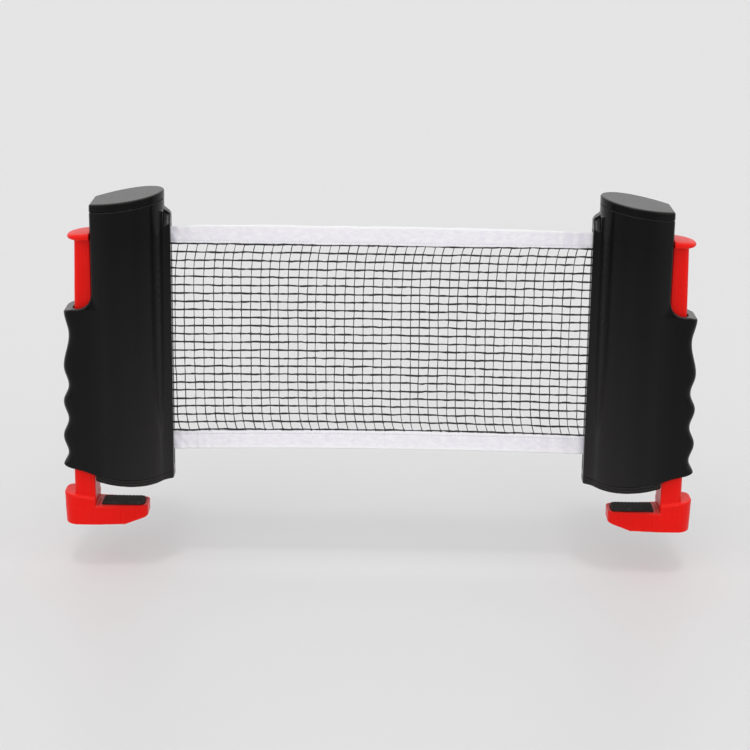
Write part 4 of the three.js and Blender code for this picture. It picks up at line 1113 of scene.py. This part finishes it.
winding_spring = spring("winding_spring", SPINDLE_X - POST_X, "retraction_spring",
                        WINDING_RADIUS, WINDING_WIRE, WINDING_TURNS)
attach(winding_spring, "left_post")

# %% [markdown]
# ## Screws
# The screws under the plates have a pan head with a cross recess and a real thread. One screw is meshed
# from its distance field, where a thread is one line: the radius rises with height and angle. Geometry
# Nodes then put a copy on each screw place, each turned a little further.

# %% Screws
PITCH = 1.1
CORE_RADIUS, THREAD_DEPTH, SHANK_START, SCREW_TIP = 1.05, 0.35, 3.4, 13.5
HEAD_RADIUS, HEAD_BOTTOM, HEAD_TOP = 2.4, 2.6, 4.5
CROSS_HALF, CROSS_REACH, CROSS_TOP = 0.35, 1.4, 3.7
SCREW_TURN = 0.9

def screw_shape(x, y, z):
    radius = np.hypot(x, y)
    angle = np.arctan2(y, x) / (2 * math.pi)
    saw = np.abs(((z / PITCH - angle) % 1) - 0.5) * 2
    shank = meet(radius - CORE_RADIUS - THREAD_DEPTH * saw, z - SCREW_TIP + radius, 0.1)
    shank = meet(shank, SHANK_START - z, 0.1)
    head = meet(radius - HEAD_RADIUS, slab(z, HEAD_BOTTOM, HEAD_TOP, 0.7), 0.7)
    across = np.maximum(np.abs(x) - CROSS_HALF, np.abs(y) - CROSS_REACH)
    along = np.maximum(np.abs(y) - CROSS_HALF, np.abs(x) - CROSS_REACH)
    return carve(fuse(head, shank, 0.2), np.maximum(np.minimum(across, along), z - CROSS_TOP), 0.1)


def screws_tree(screw):
    tree, inputs = new_geometry_tree("screws_on_points", ["Turn"])
    source = node(tree, "GeometryNodeObjectInfo", {"Object": screw})
    turn = maths(tree, "MULTIPLY", node(tree, "GeometryNodeInputIndex").outputs[0], inputs["Turn"])
    turned = node(tree, "ShaderNodeCombineXYZ", {"Z": turn})
    copies = node(tree, "GeometryNodeInstanceOnPoints", {
        "Points": inputs["Geometry"], "Instance": source.outputs["Geometry"], "Rotation": turned.outputs[0]})
    return finish_tree(tree, copies.outputs[0], inputs["Material"])

head_span = [(-2.8, 2.8, 0.28)]
points, faces, *_ = moulded(screw_shape, head_span, head_span, [(2.2, 14, 0.22)], rounds=2)
one_screw = new_object("one_screw", points * MM, faces, steel)
screw_nodes = screws_tree(one_screw)
for side in SIDES:
    start = line_mesh("screw_places", to_set([(px, py, 0) for px, py in SCREW_PLACES], side), [])
    screws = grown(f"{side}_cover_screws", screw_nodes, start, {"Turn": SCREW_TURN, "Material": steel})
    settle(screws, f"{side}_post", "steel", *[f"{side}_base_screw_{k}" for k in (1, 2, 3)])
bpy.data.objects.remove(one_screw)

# %% [markdown]
# ## Cross pins
# A plain pin with eased ends joins the rod's tongue and the jaw's neck.

# %% Cross pins
PIN_RADIUS, PIN_HALF = 1.5, 11.1

def cross_pin(x, y, z):
    return meet(round_bar(x - TONGUE_X, z - PIN_HEIGHT, PIN_RADIUS), np.abs(y) - PIN_HALF, 0.4)

pin_form = moulded(cross_pin, [(TONGUE_X - 2, TONGUE_X + 2, 0.4)], [(-12, 12, 0.5)],
                   [(PIN_HEIGHT - 2, PIN_HEIGHT + 2, 0.4)])
both_sides("cross_pin", pin_form, steel, "steel", "clamp", "rod_pin")

# %% [markdown]
# ## The reel
# Inside the left post a steel spindle stands upright. A nylon tube turns on it on two bushes and winds the
# net up. These are turned parts: a profile is spun about the axis, with a small radius at every corner.

# %% Spin a profile
EASED = 0.35
SPUN_STEPS = 72

def eased(profile):
    """Cuts each corner of a closed profile of (radius, height) with a small three-point round."""
    corners = np.array(profile, float)
    points = []
    for before, corner, after in zip(np.roll(corners, 1, 0), corners, np.roll(corners, -1, 0)):
        a = corner + (before - corner) * min(0.4, EASED / np.linalg.norm(before - corner))
        b = corner + (after - corner) * min(0.4, EASED / np.linalg.norm(after - corner))
        points += [a, 0.25 * a + 0.5 * corner + 0.25 * b, b]
    return np.array(points)


def spun(name, profile, material, slot, body, node_word):
    """Spins a profile about the axis of the reel."""
    ring = eased(profile)
    count = len(ring)
    out = np.maximum(ring[:, 0], 0.02)
    points = []
    for angle in (2 * math.pi * k / SPUN_STEPS for k in range(SPUN_STEPS)):
        points.append(np.stack([SPINDLE_X + out * math.cos(angle), out * math.sin(angle), ring[:, 1]], 1))
    faces = []
    for k in range(SPUN_STEPS):
        here, there = k * count, (k + 1) % SPUN_STEPS * count
        faces += [[here + j, there + j, there + (j + 1) % count, here + (j + 1) % count]
                  for j in range(count)]
    made = new_object(name, to_set(np.concatenate(points), "left"), faces, material)
    made.data.set_sharp_from_angle(angle=math.radians(40))
    settle(made, body, slot, node_word)
    print(f"{name}: {len(faces)} faces")

print("each corner is eased by", EASED, "mm")

# %% [markdown]
# The tube has one flange at its foot that carries the lower edge of the wound net. The bushes are pushed
# into its ends, each with a collar that stays outside.

# %% Spindle, tube and bushes
TUBE_BORE, TUBE_RADIUS, TUBE_BOTTOM, TUBE_TOP = 6.4, 8, 12, high("reel_tube", 2)
FLANGE_RADIUS, FLANGE_BOTTOM, FLANGE_TOP = 19.1, 15, 16.5
SPINDLE_BOTTOM, SPINDLE_TOP = 2.9, high("reel_spindle", 2)
BUSH_BORE, BUSH_RADIUS, BUSH_DEPTH, BUSH_COLLAR = 3.35, 6.1, 9, 2.3

def pale_nylon(tree):
    cloud = noise(tree, object_place(tree), scale=60.0, detail=4.0)
    return {
        "Base Color": blended(tree, cloud, (0.66, 0.63, 0.55), (0.76, 0.74, 0.68)),
        "Roughness": spread(tree, cloud, 0.35, 0.55),
        "Subsurface Weight": 0.15,
        "Subsurface Radius": (0.003, 0.002, 0.0015),
    }


def bush_profile(end, way):
    """A bush pushed into an end of the tube; way is 1 at its top and -1 at its bottom."""
    inner, lip_start, lip_end = end - way * BUSH_DEPTH, end + way * GAP, end + way * BUSH_COLLAR
    profile = [(BUSH_BORE, inner), (BUSH_RADIUS, inner), (BUSH_RADIUS, lip_start), (TUBE_RADIUS, lip_start),
               (TUBE_RADIUS, lip_end), (BUSH_BORE, lip_end)]
    return profile[::way]

nylon = painted("pale_nylon", pale_nylon)
spindle_profile = [(0, SPINDLE_BOTTOM), (SPINDLE_RADIUS, SPINDLE_BOTTOM), (SPINDLE_RADIUS, SPINDLE_TOP),
                   (0, SPINDLE_TOP)]
tube_profile = [
    (TUBE_BORE, TUBE_BOTTOM), (TUBE_RADIUS, TUBE_BOTTOM), (TUBE_RADIUS, FLANGE_BOTTOM),
    (FLANGE_RADIUS, FLANGE_BOTTOM), (FLANGE_RADIUS, FLANGE_TOP), (TUBE_RADIUS, FLANGE_TOP),
    (TUBE_RADIUS, TUBE_TOP), (TUBE_BORE, TUBE_TOP)]
spun("steel_spindle", spindle_profile, steel, "steel", "left_post", "reel_spindle")
spun("nylon_tube", tube_profile, nylon, "nylon", "reel", "reel_tube")
spun("nylon_upper_bush", bush_profile(TUBE_TOP, 1), nylon, "nylon", "reel", "reel_upper_bush")
spun("nylon_lower_bush", bush_profile(TUBE_BOTTOM, -1), nylon, "nylon", "reel", "reel_lower_bush")

# %% [markdown]
# ## The anchor bar
# In the right post an upright bar holds the fixed end of the net in a slit.

# %% Anchor bar
BAR_BOTTOM, BAR_TOP = 2.9, high("net_anchor_bar", 2)
SLIT_HALF, SLIT_DEPTH, SLIT_BOTTOM = 1.0, 2.55, 18.2
BAR_SPAN = BAR_RADIUS + 0.9

def anchor_bar(x, y, z):
    rod = meet(round_bar(x - BAR_X, y, BAR_RADIUS), slab(z, BAR_BOTTOM, BAR_TOP, 0.5), 0.5)
    slit = meet(np.abs(y) - SLIT_HALF, BAR_X + BAR_RADIUS - SLIT_DEPTH - x, 0.3)
    return carve(rod, meet(slit, SLIT_BOTTOM - z, 0.3), 0.3)

form = moulded(anchor_bar, [(BAR_X - BAR_SPAN, BAR_X + BAR_SPAN, 0.6)], [(-BAR_SPAN, BAR_SPAN, 0.6)],
               [(1.5, 190, 1.6)])
holding_bar = moulded_object("net_holding_bar", form, "right", black_plastic)
settle(holding_bar, "right_post", "black_plastic", "net_anchor_bar")
print("anchor bar:", 2 * len(form[1]), "triangles")

# %% [markdown]
# ## Net cord and woven tape
# The net is knotted from dark cord, and its edges are bound with white woven tape. The cord shows a fine
# twist. The tape is a plain weave: a checker picks at each crossing whether the warp or the weft is on
# top, and each is a row of round threads. The fold and the hem of the tape get a painted highlight, and its
# creases near the posts get painted shade.

# %% Finish of cord and tape
THREAD_STEP = 0.00042
WAVE_LENGTH = 6.2832

def dark_cord(tree):
    place = object_place(tree)
    fuzz = noise(tree, place, scale=220.0, detail=4.0, roughness=0.7)
    twist = node(tree, "ShaderNodeTexWave", {"Vector": place, "Scale": 900.0, "Distortion": 1.5},
                 wave_type="BANDS", bands_direction="DIAGONAL").outputs["Fac"]
    body = blended(tree, fuzz, (0.006, 0.006, 0.007), (0.020, 0.019, 0.021))
    return {
        "Base Color": blended(tree, stored(tree, "faded"), body, (0.060, 0.058, 0.062)),
        "Roughness": 0.75,
        "Sheen Weight": 0.15,
        "Normal": bump(tree, twist, 0.5, 0.0001),
    }


def plain_weave(tree):
    cloth = node(tree, "ShaderNodeUVMap", uv_map="cloth").outputs["UV"]
    picks = node(tree, "ShaderNodeTexChecker", {"Vector": cloth, "Scale": 1 / THREAD_STEP}).outputs["Fac"]
    warp, weft = (
        node(tree, "ShaderNodeTexWave", {"Vector": cloth, "Scale": 1 / THREAD_STEP / WAVE_LENGTH * 2},
             bands_direction=way).outputs["Color"]
        for way in ("Y", "X"))
    return blended(tree, picks, warp, weft)


def woven_tape(tree):
    weave = plain_weave(tree)
    cloud = noise(tree, object_place(tree), scale=(190, 190, 420), detail=4.0, roughness=0.7)
    clouded = ramp(tree, cloud, (0.36, 0.0), (0.64, 1.0))
    shade = blended(tree, clouded, (0.87, 0.845, 0.915), (0.965, 0.95, 0.985))
    # Painted highlight along the fold and the hem.
    shade = blended(tree, stored(tree, "painted_fold_highlight"), shade, (0.985, 0.98, 0.99))
    # Painted shade in the creases near the posts.
    shade = blended(tree, stored(tree, "painted_crease_shade"), shade, (0.60, 0.58, 0.70))
    return {
        "Base Color": blended(tree, 1.0, shade, ramp(tree, weave, (0.0, 0.88), (0.5, 1.0)), "MULTIPLY"),
        "Roughness": 0.85,
        "Sheen Weight": 0.12,
        "Normal": bump(tree, weave, 0.35, 0.00008),
    }

net_cord = painted("dark_net_cord", dark_cord)
white_tape = painted("white_woven_tape", woven_tape)

# %% [markdown]
# ## The edges of the net
# The net bows up a little at its middle. What is irregular in it, such as wrinkles and swaying cords, is
# smooth noise along a line: random values at even steps, with a soft curve between them, the same each run.

# %% Lines and noise
VISIBLE_HALF = POST_X - LIP_REACH
TAPE_LEFT, TAPE_RIGHT = low("net_top_tape", 0), high("net_top_tape", 0)
TOP_TAPE = (low("net_top_tape", 2), NET_TOP)
BOTTOM_TAPE = (low("net_bottom_tape", 2), high("net_bottom_tape", 2) - BOW)
NOISE_COUNT, NOISE_START = 4000, 1000

def smooth_noise(seed, places, step):
    knots = np.random.default_rng(seed).uniform(-1, 1, NOISE_COUNT)
    where = places / step + NOISE_START
    whole = np.floor(where).astype(int)
    part = where - whole
    part = part * part * (3 - 2 * part)
    return knots[whole] * (1 - part) + knots[whole + 1] * part


def noise_at(seed, place, step):
    return smooth_noise(seed, np.array([place]), step)[0]


def bow(x):
    return BOW * np.maximum(0, 1 - (x / VISIBLE_HALF) ** 2)


def bulge(value, centre, width):
    """A smooth bump of height 1 about a centre."""
    return np.exp(-((value - centre) / width) ** 2)


def skin_faces(rings, count):
    """The faces of a skin over rings of points, closed at both ends."""
    faces = []
    for here, there in ((k * count, (k + 1) * count) for k in range(rings - 1)):
        faces += [[there + j, there + (j + 1) % count, here + (j + 1) % count, here + j]
                  for j in range(count)]
    return [*faces, list(range(count)), [(rings - 1) * count + j for j in reversed(range(count))]]

print(f"net visible over {2 * VISIBLE_HALF:.1f} mm, drawn over {TAPE_RIGHT - TAPE_LEFT:.1f} mm")

# %% [markdown]
# ## The tapes
# Each tape is a band folded over the edge of the net and sewn. It is thick at the fold and at the sewn hem
# and thinner between, and it wrinkles where the posts squeeze it. The band is built ring by ring along its
# length: each ring goes up the front from the hem to the fold, and down the back.

# %% Shape of the tapes
RING_COUNT, RING_STEPS = 421, 18
HALF_THICKNESS = 0.42
SWELLS = [(0.22, 1, 0.10), (0.12, 0.06, 0.07), (-0.14, 0.17, 0.035)]  # height, place from the hem, width
WRINKLE_REACH, WRINKLE_SLANT = 22, 0.7
UP_AND_DOWN = np.concatenate([np.linspace(0, 1, RING_STEPS), np.linspace(1, 0, RING_STEPS)])
FACE_WAY = np.repeat([-1.0, 1.0], RING_STEPS)
CLOTH_WIDTH = 0.02

def tape_ring(x, bottom, top, wrinkle, seed):
    """Heights over one ring, and how far the wrinkles push it to the back."""
    height = top - bottom + 0.25 * noise_at(seed + 1, x, 13)
    slanted = x + WRINKLE_SLANT * height * UP_AND_DOWN
    narrow = smooth_noise(seed + 2, slanted, 3.6) * 0.34 * wrinkle
    wide = smooth_noise(seed + 3, slanted, 9.0) * 0.5 * wrinkle
    inside = np.clip((np.abs(x) - VISIBLE_HALF - 2) / 4, 0, 1)
    return height * UP_AND_DOWN, (0.35 * noise_at(seed, x, 31) + (narrow + wide)) * (1 - inside)


def tape(name, lower, upper, folded_top, seed, node_word):
    from_hem = UP_AND_DOWN if folded_top else 1 - UP_AND_DOWN
    # Painted highlight: strongest at the fold, fainter at the hem.
    painted_fold_highlight = bulge(from_hem, 1, 0.14) + 0.6 * bulge(from_hem, 0.06, 0.07)
    half = sum((rise * bulge(from_hem, place, width) for rise, place, width in SWELLS), HALF_THICKNESS)
    end_round = np.where((UP_AND_DOWN == 0) | (UP_AND_DOWN == 1), 0.45, 1.0)
    rings, cloth, painted_crease_shades = [], [], []
    for x in np.linspace(TAPE_LEFT, TAPE_RIGHT, RING_COUNT):
        near = np.exp(-(VISIBLE_HALF - np.abs(x)).clip(0) / WRINKLE_REACH)
        climb, push = tape_ring(x, lower(x), upper(x), near * 0.8 + 0.12, seed)
        along = np.full(len(climb), x)
        rings.append(np.stack([along, FACE_WAY * half * end_round + push, lower(x) + climb], 1))
        cloth.append(np.stack([along * MM, FACE_WAY * CLOTH_WIDTH + climb * MM], 1))
        # Painted shade in the creases, strongest near the posts.
        painted_crease_shades.append(0.4 * near * np.clip(0.3 + smooth_noise(seed + 4, x + 0.2 * UP_AND_DOWN, 2.4), 0, 1))
    made = new_object(name, np.concatenate(rings) * MM, skin_faces(RING_COUNT, len(UP_AND_DOWN)), white_tape)
    corners = np.zeros(len(made.data.loops), np.int32)
    made.data.loops.foreach_get("vertex_index", corners)
    layer = made.data.uv_layers.new(name="cloth")
    layer.data.foreach_set("uv", np.concatenate(cloth)[corners].astype(np.float32).ravel())
    store(made.data, "painted_fold_highlight", np.tile(painted_fold_highlight, RING_COUNT))
    store(made.data, "painted_crease_shade", np.concatenate(painted_crease_shades))
    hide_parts(node_word)
    print(f"{name}: {len(made.data.polygons)} faces")
    return made


def top_edge(x):
    """The fold stands a little higher to the left, where it was pressed less."""
    return TOP_TAPE[1] + bow(x) + 0.9 * bulge(x, -98, 40)

top_tape = tape("folded_top_tape", lambda x: TOP_TAPE[0], top_edge, True, 11, "net_top_tape")
bottom_tape = tape("folded_bottom_tape", lambda x: BOTTOM_TAPE[0] + bow(x), lambda x: BOTTOM_TAPE[1] + bow(x),
                   False, 23, "net_bottom_tape")

# %% [markdown]
# ## The knotted net
# Cords run along and across, and each crossing has a knot. The lines are first drawn as plain edges with
# their small irregularities: rows sway, columns lean where the tapes pull them, and the knots differ in
# size.

# %% Rows and columns
ROWS, COLUMNS = 24, 44
ROW_RADIUS, COLUMN_RADIUS = 0.57, 0.31
PER_CELL = 3
COLUMN_FADE = 0.75
TOP_PULL, BOTTOM_PULL = (3.1, 1.8), (3.0, 1.5)  # shift in millimetres, and how many rows it reaches

def net_height(row, x):
    """Height of a row at x; the lowest rows bow with the bottom tape."""
    bottom = BOTTOM_TAPE[1] + 0.5 + bow(x)
    top = TOP_TAPE[0] - 0.2
    return bottom + (top - bottom) * (row / (ROWS - 1))


def knot_height(row, x):
    return net_height(row, x) + 0.22 * noise_at(100 + row, x, 9.0)


def lean(row):
    """How far a column is shifted along x at a row by the pull of the tapes, in millimetres."""
    from_top, from_bottom = ROWS - 1 - row, row
    return sum(shift * np.exp(-away / reach)
               for away, (shift, reach) in ((from_top, TOP_PULL), (from_bottom, BOTTOM_PULL)))


def row_line(row):
    """Points, radii, knot sizes and fading of one cord along the net."""
    visible = np.linspace(-VISIBLE_HALF - 2, VISIBLE_HALF + 2, COLUMNS * PER_CELL)
    x = np.concatenate([[TAPE_LEFT + 1.2], visible, [TAPE_RIGHT - 0.5]])
    z = net_height(row, x) + 0.24 * smooth_noise(100 + row, x, 9.0) + 0.20 * smooth_noise(200 + row, x, 3.1)
    y = 0.25 * smooth_noise(300 + row, x, 12.0)
    size = ROW_RADIUS * (1 + 0.30 * smooth_noise(400 + row, x, 2.6))
    return np.stack([x, y, z], 1), size, np.zeros(len(x)), np.zeros(len(x))


def column_line(column, start, rng):
    """The same for one cord across the net, which has a knot wherever it meets a row."""
    rows = np.linspace(0, ROWS - 1, (ROWS - 1) * PER_CELL + 1)
    sway = 0.35 * smooth_noise(500 + column, rows, 5.0) + 0.16 * smooth_noise(600 + column, rows, 1.0)
    x = start + lean(rows) + sway
    whole = np.round(rows).astype(int)
    at_knot = np.isclose(rows, whole)
    z = np.where(at_knot, [knot_height(r, v) for r, v in zip(whole, x)], net_height(rows, x))
    size = COLUMN_RADIUS * (1 + 0.3 * smooth_noise(700 + column, rows, 0.8))
    knots = np.where(at_knot, rng.uniform(0.75, 1.25, len(rows)), 0.0)
    return np.stack([x, np.zeros(len(x)), z], 1), size, knots, np.full(len(x), COLUMN_FADE)

print("a column leans by", round(float(lean(ROWS - 1)), 2), "mm at the top tape")

# %% [markdown]
# All cords go into one start mesh of points and edges. It keeps three numbers at each point: the radius of
# the cord, the size of the knot if there is one, and how faded the cord is.

# %% Start mesh of the net
FIRST_COLUMN, COLUMN_STEP = -136.2, 6.246

def net_start_mesh():
    rng = np.random.default_rng(5)
    columns = FIRST_COLUMN + COLUMN_STEP * np.arange(COLUMNS) + rng.normal(0, 0.22, COLUMNS)
    lines = [row_line(row) for row in range(ROWS)]
    lines += [column_line(column, start, rng) for column, start in enumerate(columns)]
    points, radius, knot, faded = (np.concatenate(values) for values in zip(*lines))
    ends = np.cumsum([len(line[0]) for line in lines])
    edges = [(k, k + 1) for k in range(len(points) - 1) if k + 1 not in ends]
    mesh = line_mesh("net_lines", points * MM, edges)
    for word, values in (("cord_radius", radius * MM), ("knot", knot), ("faded", faded)):
        store(mesh, word, values)
    print("net:", len(points), "points,", int((knot > 0).sum()), "knots")
    return mesh

net_mesh_lines = net_start_mesh()

# %% [markdown]
# Geometry Nodes sweep a cord along each line and put a knot on each crossing. A row cord is thick and a
# column cord thin, so the tree reads the radius at each point. A knot is a small flattened ball, turned at
# random with a fixed seed.

# %% Cords and knots
KNOT_SIZE = 0.92
KNOT_SHAPE = (1.0, 0.75, 0.85)
KNOT_TURN = (0.5, 0.5, 0.9)

def net_tree():
    tree, inputs = new_geometry_tree("knotted_net", ["Knot Size"])

    def number(word):
        return node(tree, "GeometryNodeInputNamedAttribute", {"Name": word}, data_type="FLOAT").outputs[0]

    lines = node(tree, "GeometryNodeMeshToCurve", {"Mesh": inputs["Geometry"]})
    ring = node(tree, "GeometryNodeCurvePrimitiveCircle", {"Resolution": 6, "Radius": 1.0})
    cords = node(tree, "GeometryNodeCurveToMesh", {
        "Curve": lines.outputs[0], "Profile Curve": ring.outputs[0], "Scale": number("cord_radius"),
        "Fill Caps": True})
    is_knot = node(tree, "FunctionNodeCompare", {0: number("knot"), 1: 0.01}, data_type="FLOAT",
                   operation="GREATER_THAN")
    ball = node(tree, "GeometryNodeMeshUVSphere", {"Segments": 7, "Rings": 4, "Radius": 1.0})
    flat = node(tree, "ShaderNodeVectorMath", {0: KNOT_SHAPE, "Scale": inputs["Knot Size"]},
                operation="SCALE")
    scaled = node(tree, "ShaderNodeVectorMath", {0: flat.outputs[0], "Scale": number("knot")},
                  operation="SCALE")
    turn = node(tree, "FunctionNodeRandomValue", {0: tuple(-v for v in KNOT_TURN), 1: KNOT_TURN, "Seed": 3},
                data_type="FLOAT_VECTOR")
    knots = node(tree, "GeometryNodeInstanceOnPoints", {
        "Points": inputs["Geometry"], "Selection": is_knot.outputs[0], "Instance": ball.outputs["Mesh"],
        "Scale": scaled.outputs[0], "Rotation": turn.outputs[0]})
    both = node(tree, "GeometryNodeJoinGeometry")
    for piece in (knots, cords):
        tree.links.new(piece.outputs[0], both.inputs[0])
    return finish_tree(tree, both.outputs[0], inputs["Material"])

knotted_net = grown("knotted_net", net_tree(), net_mesh_lines,
                    {"Knot Size": KNOT_SIZE * MM, "Material": net_cord})
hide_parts("net_mesh")

# %% [markdown]
# ## Stitches
# Each tape is closed by a row of small stitches. One stitch is a thin bead; the tree walks along the seam,
# drops a bead at every stitch length and turns it along the seam.

# %% Stitches along a seam
STITCH_LENGTH, THREAD = 2.6, 0.2

def stitch_tree():
    tree, inputs = new_geometry_tree("stitches", ["Stitch Length", "Thread"])
    seam = node(tree, "GeometryNodeMeshToCurve", {"Mesh": inputs["Geometry"]})
    places = node(tree, "GeometryNodeCurveToPoints", {
        "Curve": seam.outputs[0], "Length": inputs["Stitch Length"]}, mode="LENGTH")
    bead = node(tree, "GeometryNodeMeshUVSphere", {"Segments": 6, "Rings": 5, "Radius": 1.0})
    long = maths(tree, "MULTIPLY", inputs["Stitch Length"], 0.40)
    size = node(tree, "ShaderNodeCombineXYZ", {"X": inputs["Thread"], "Y": inputs["Thread"], "Z": long})
    beads = node(tree, "GeometryNodeInstanceOnPoints", {
        "Points": places.outputs["Points"], "Instance": bead.outputs["Mesh"],
        "Rotation": places.outputs["Rotation"], "Scale": size.outputs[0]})
    return finish_tree(tree, beads.outputs[0], inputs["Material"])


def thread_finish(tree):
    cloud = noise(tree, object_place(tree), scale=300.0, detail=3.0)
    return {"Base Color": blended(tree, cloud, (0.60, 0.58, 0.66), (0.84, 0.83, 0.88)), "Roughness": 0.6}


sewing = stitch_tree()
thread = painted("white_sewing_thread", thread_finish)

# %% [markdown]
# A seam has to lie on the cloth, wrinkles and all, so each of its points lies as far out as the tape's own
# vertices close by.

# %% Sew the tapes
TOP_HEM, BOTTOM_HEM = 2.0, 2.2
SEAM_POINTS, SEAM_INSET = 300, 0.5
NEAR = 1.2

def surface_depth(piece, x, z, way):
    """How deep the front (-1) or the back (1) of a tape lies at each place, from its own vertices."""
    points = np.zeros(len(piece.data.vertices) * 3)
    piece.data.vertices.foreach_get("co", points)
    points = points.reshape(-1, 3) / MM
    depth = []
    for px, pz in zip(x, z):
        sides = points[np.hypot(points[:, 0] - px, points[:, 2] - pz) < NEAR, 1]
        depth.append(sides.min() if way < 0 else sides.max())
    return np.array(depth)


def seam(name, height, tape_piece):
    """A row of stitches on the front and one on the back of a tape."""
    x = np.linspace(-VISIBLE_HALF + SEAM_INSET, VISIBLE_HALF - SEAM_INSET, SEAM_POINTS)
    z = height(x)
    points = np.concatenate([
        np.stack([x, surface_depth(tape_piece, x, z, way), z], 1) for way in (-1, 1)])
    edges = [(k, k + 1) for k in range(len(points) - 1) if k + 1 != len(x)]
    made = grown(name, sewing, line_mesh(name + "_line", points * MM, edges),
                 {"Stitch Length": STITCH_LENGTH * MM, "Thread": THREAD * MM, "Material": thread})
    return made

top_seam = seam("top_tape_stitches", lambda x: TOP_TAPE[0] + TOP_HEM + 0 * x, top_tape)
bottom_seam = seam("bottom_tape_stitches", lambda x: BOTTOM_TAPE[1] - BOTTOM_HEM + bow(x), bottom_tape)

# %% [markdown]
# ## The wound net
# The rest of the net, about a metre and a half, is wound on the tube in the left post. It is one long
# strip on a spiral: white tape at the top and at the bottom and dark netting between.

# %% Wind the net
ROLL_TURNS, STEPS_PER_TURN = 17.5, 28
ROLL_INNER, ROLL_OUTER = 8.6, 19.1
ROLL_END = math.radians(16.4)
STRIP = [(19.4, 0.24), (32.0, 0.24), (32.6, 0.14), (160.6, 0.14), (161.2, 0.24), (172.0, 0.24)]
NETTING = (32.3, 160.9)

def wound_net():
    """The strip on its spiral, and the length of the spiral in millimetres."""
    steps = int(ROLL_TURNS * STEPS_PER_TURN)
    share = np.linspace(0, 1, steps + 1)
    radius = ROLL_INNER + (ROLL_OUTER - ROLL_INNER) * share
    angle = share * ROLL_TURNS * 2 * math.pi - ROLL_END
    rings = []
    for r, a in zip(radius, angle):
        profile = [(r + half, z) for z, half in STRIP] + [(r - half, z) for z, half in reversed(STRIP)]
        rings += [(SPINDLE_X + q * math.cos(a), q * math.sin(a), z) for q, z in profile]
    made = new_object("wound_net", to_set(rings, "left"), skin_faces(steps + 1, 2 * len(STRIP)), net_cord)
    made.data.materials.append(white_tape)
    for polygon in made.data.polygons:
        is_netting = NETTING[0] < polygon.center.z / MM < NETTING[1] and len(polygon.vertices) == 4
        polygon.material_index = 0 if is_netting else 1
    made.data.uv_layers.new(name="cloth")
    length = np.hypot(np.diff(radius * np.cos(angle)), np.diff(radius * np.sin(angle))).sum()
    return made, float(length)

roll, roll_length = wound_net()
settle(roll, "reel", "net_cord", "net_roll")
print(f"wound net: {roll_length:.0f} mm long")

# %% [markdown]
# ## The net in the set
# The net, its tapes and their stitches are held by the slots of both posts. Each has its placement baked
# into its mesh, so it lies in the coordinates of the whole set.

# %% Bake the net in place
for piece in (knotted_net, top_tape, bottom_tape, top_seam, bottom_seam):
    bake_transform(piece)
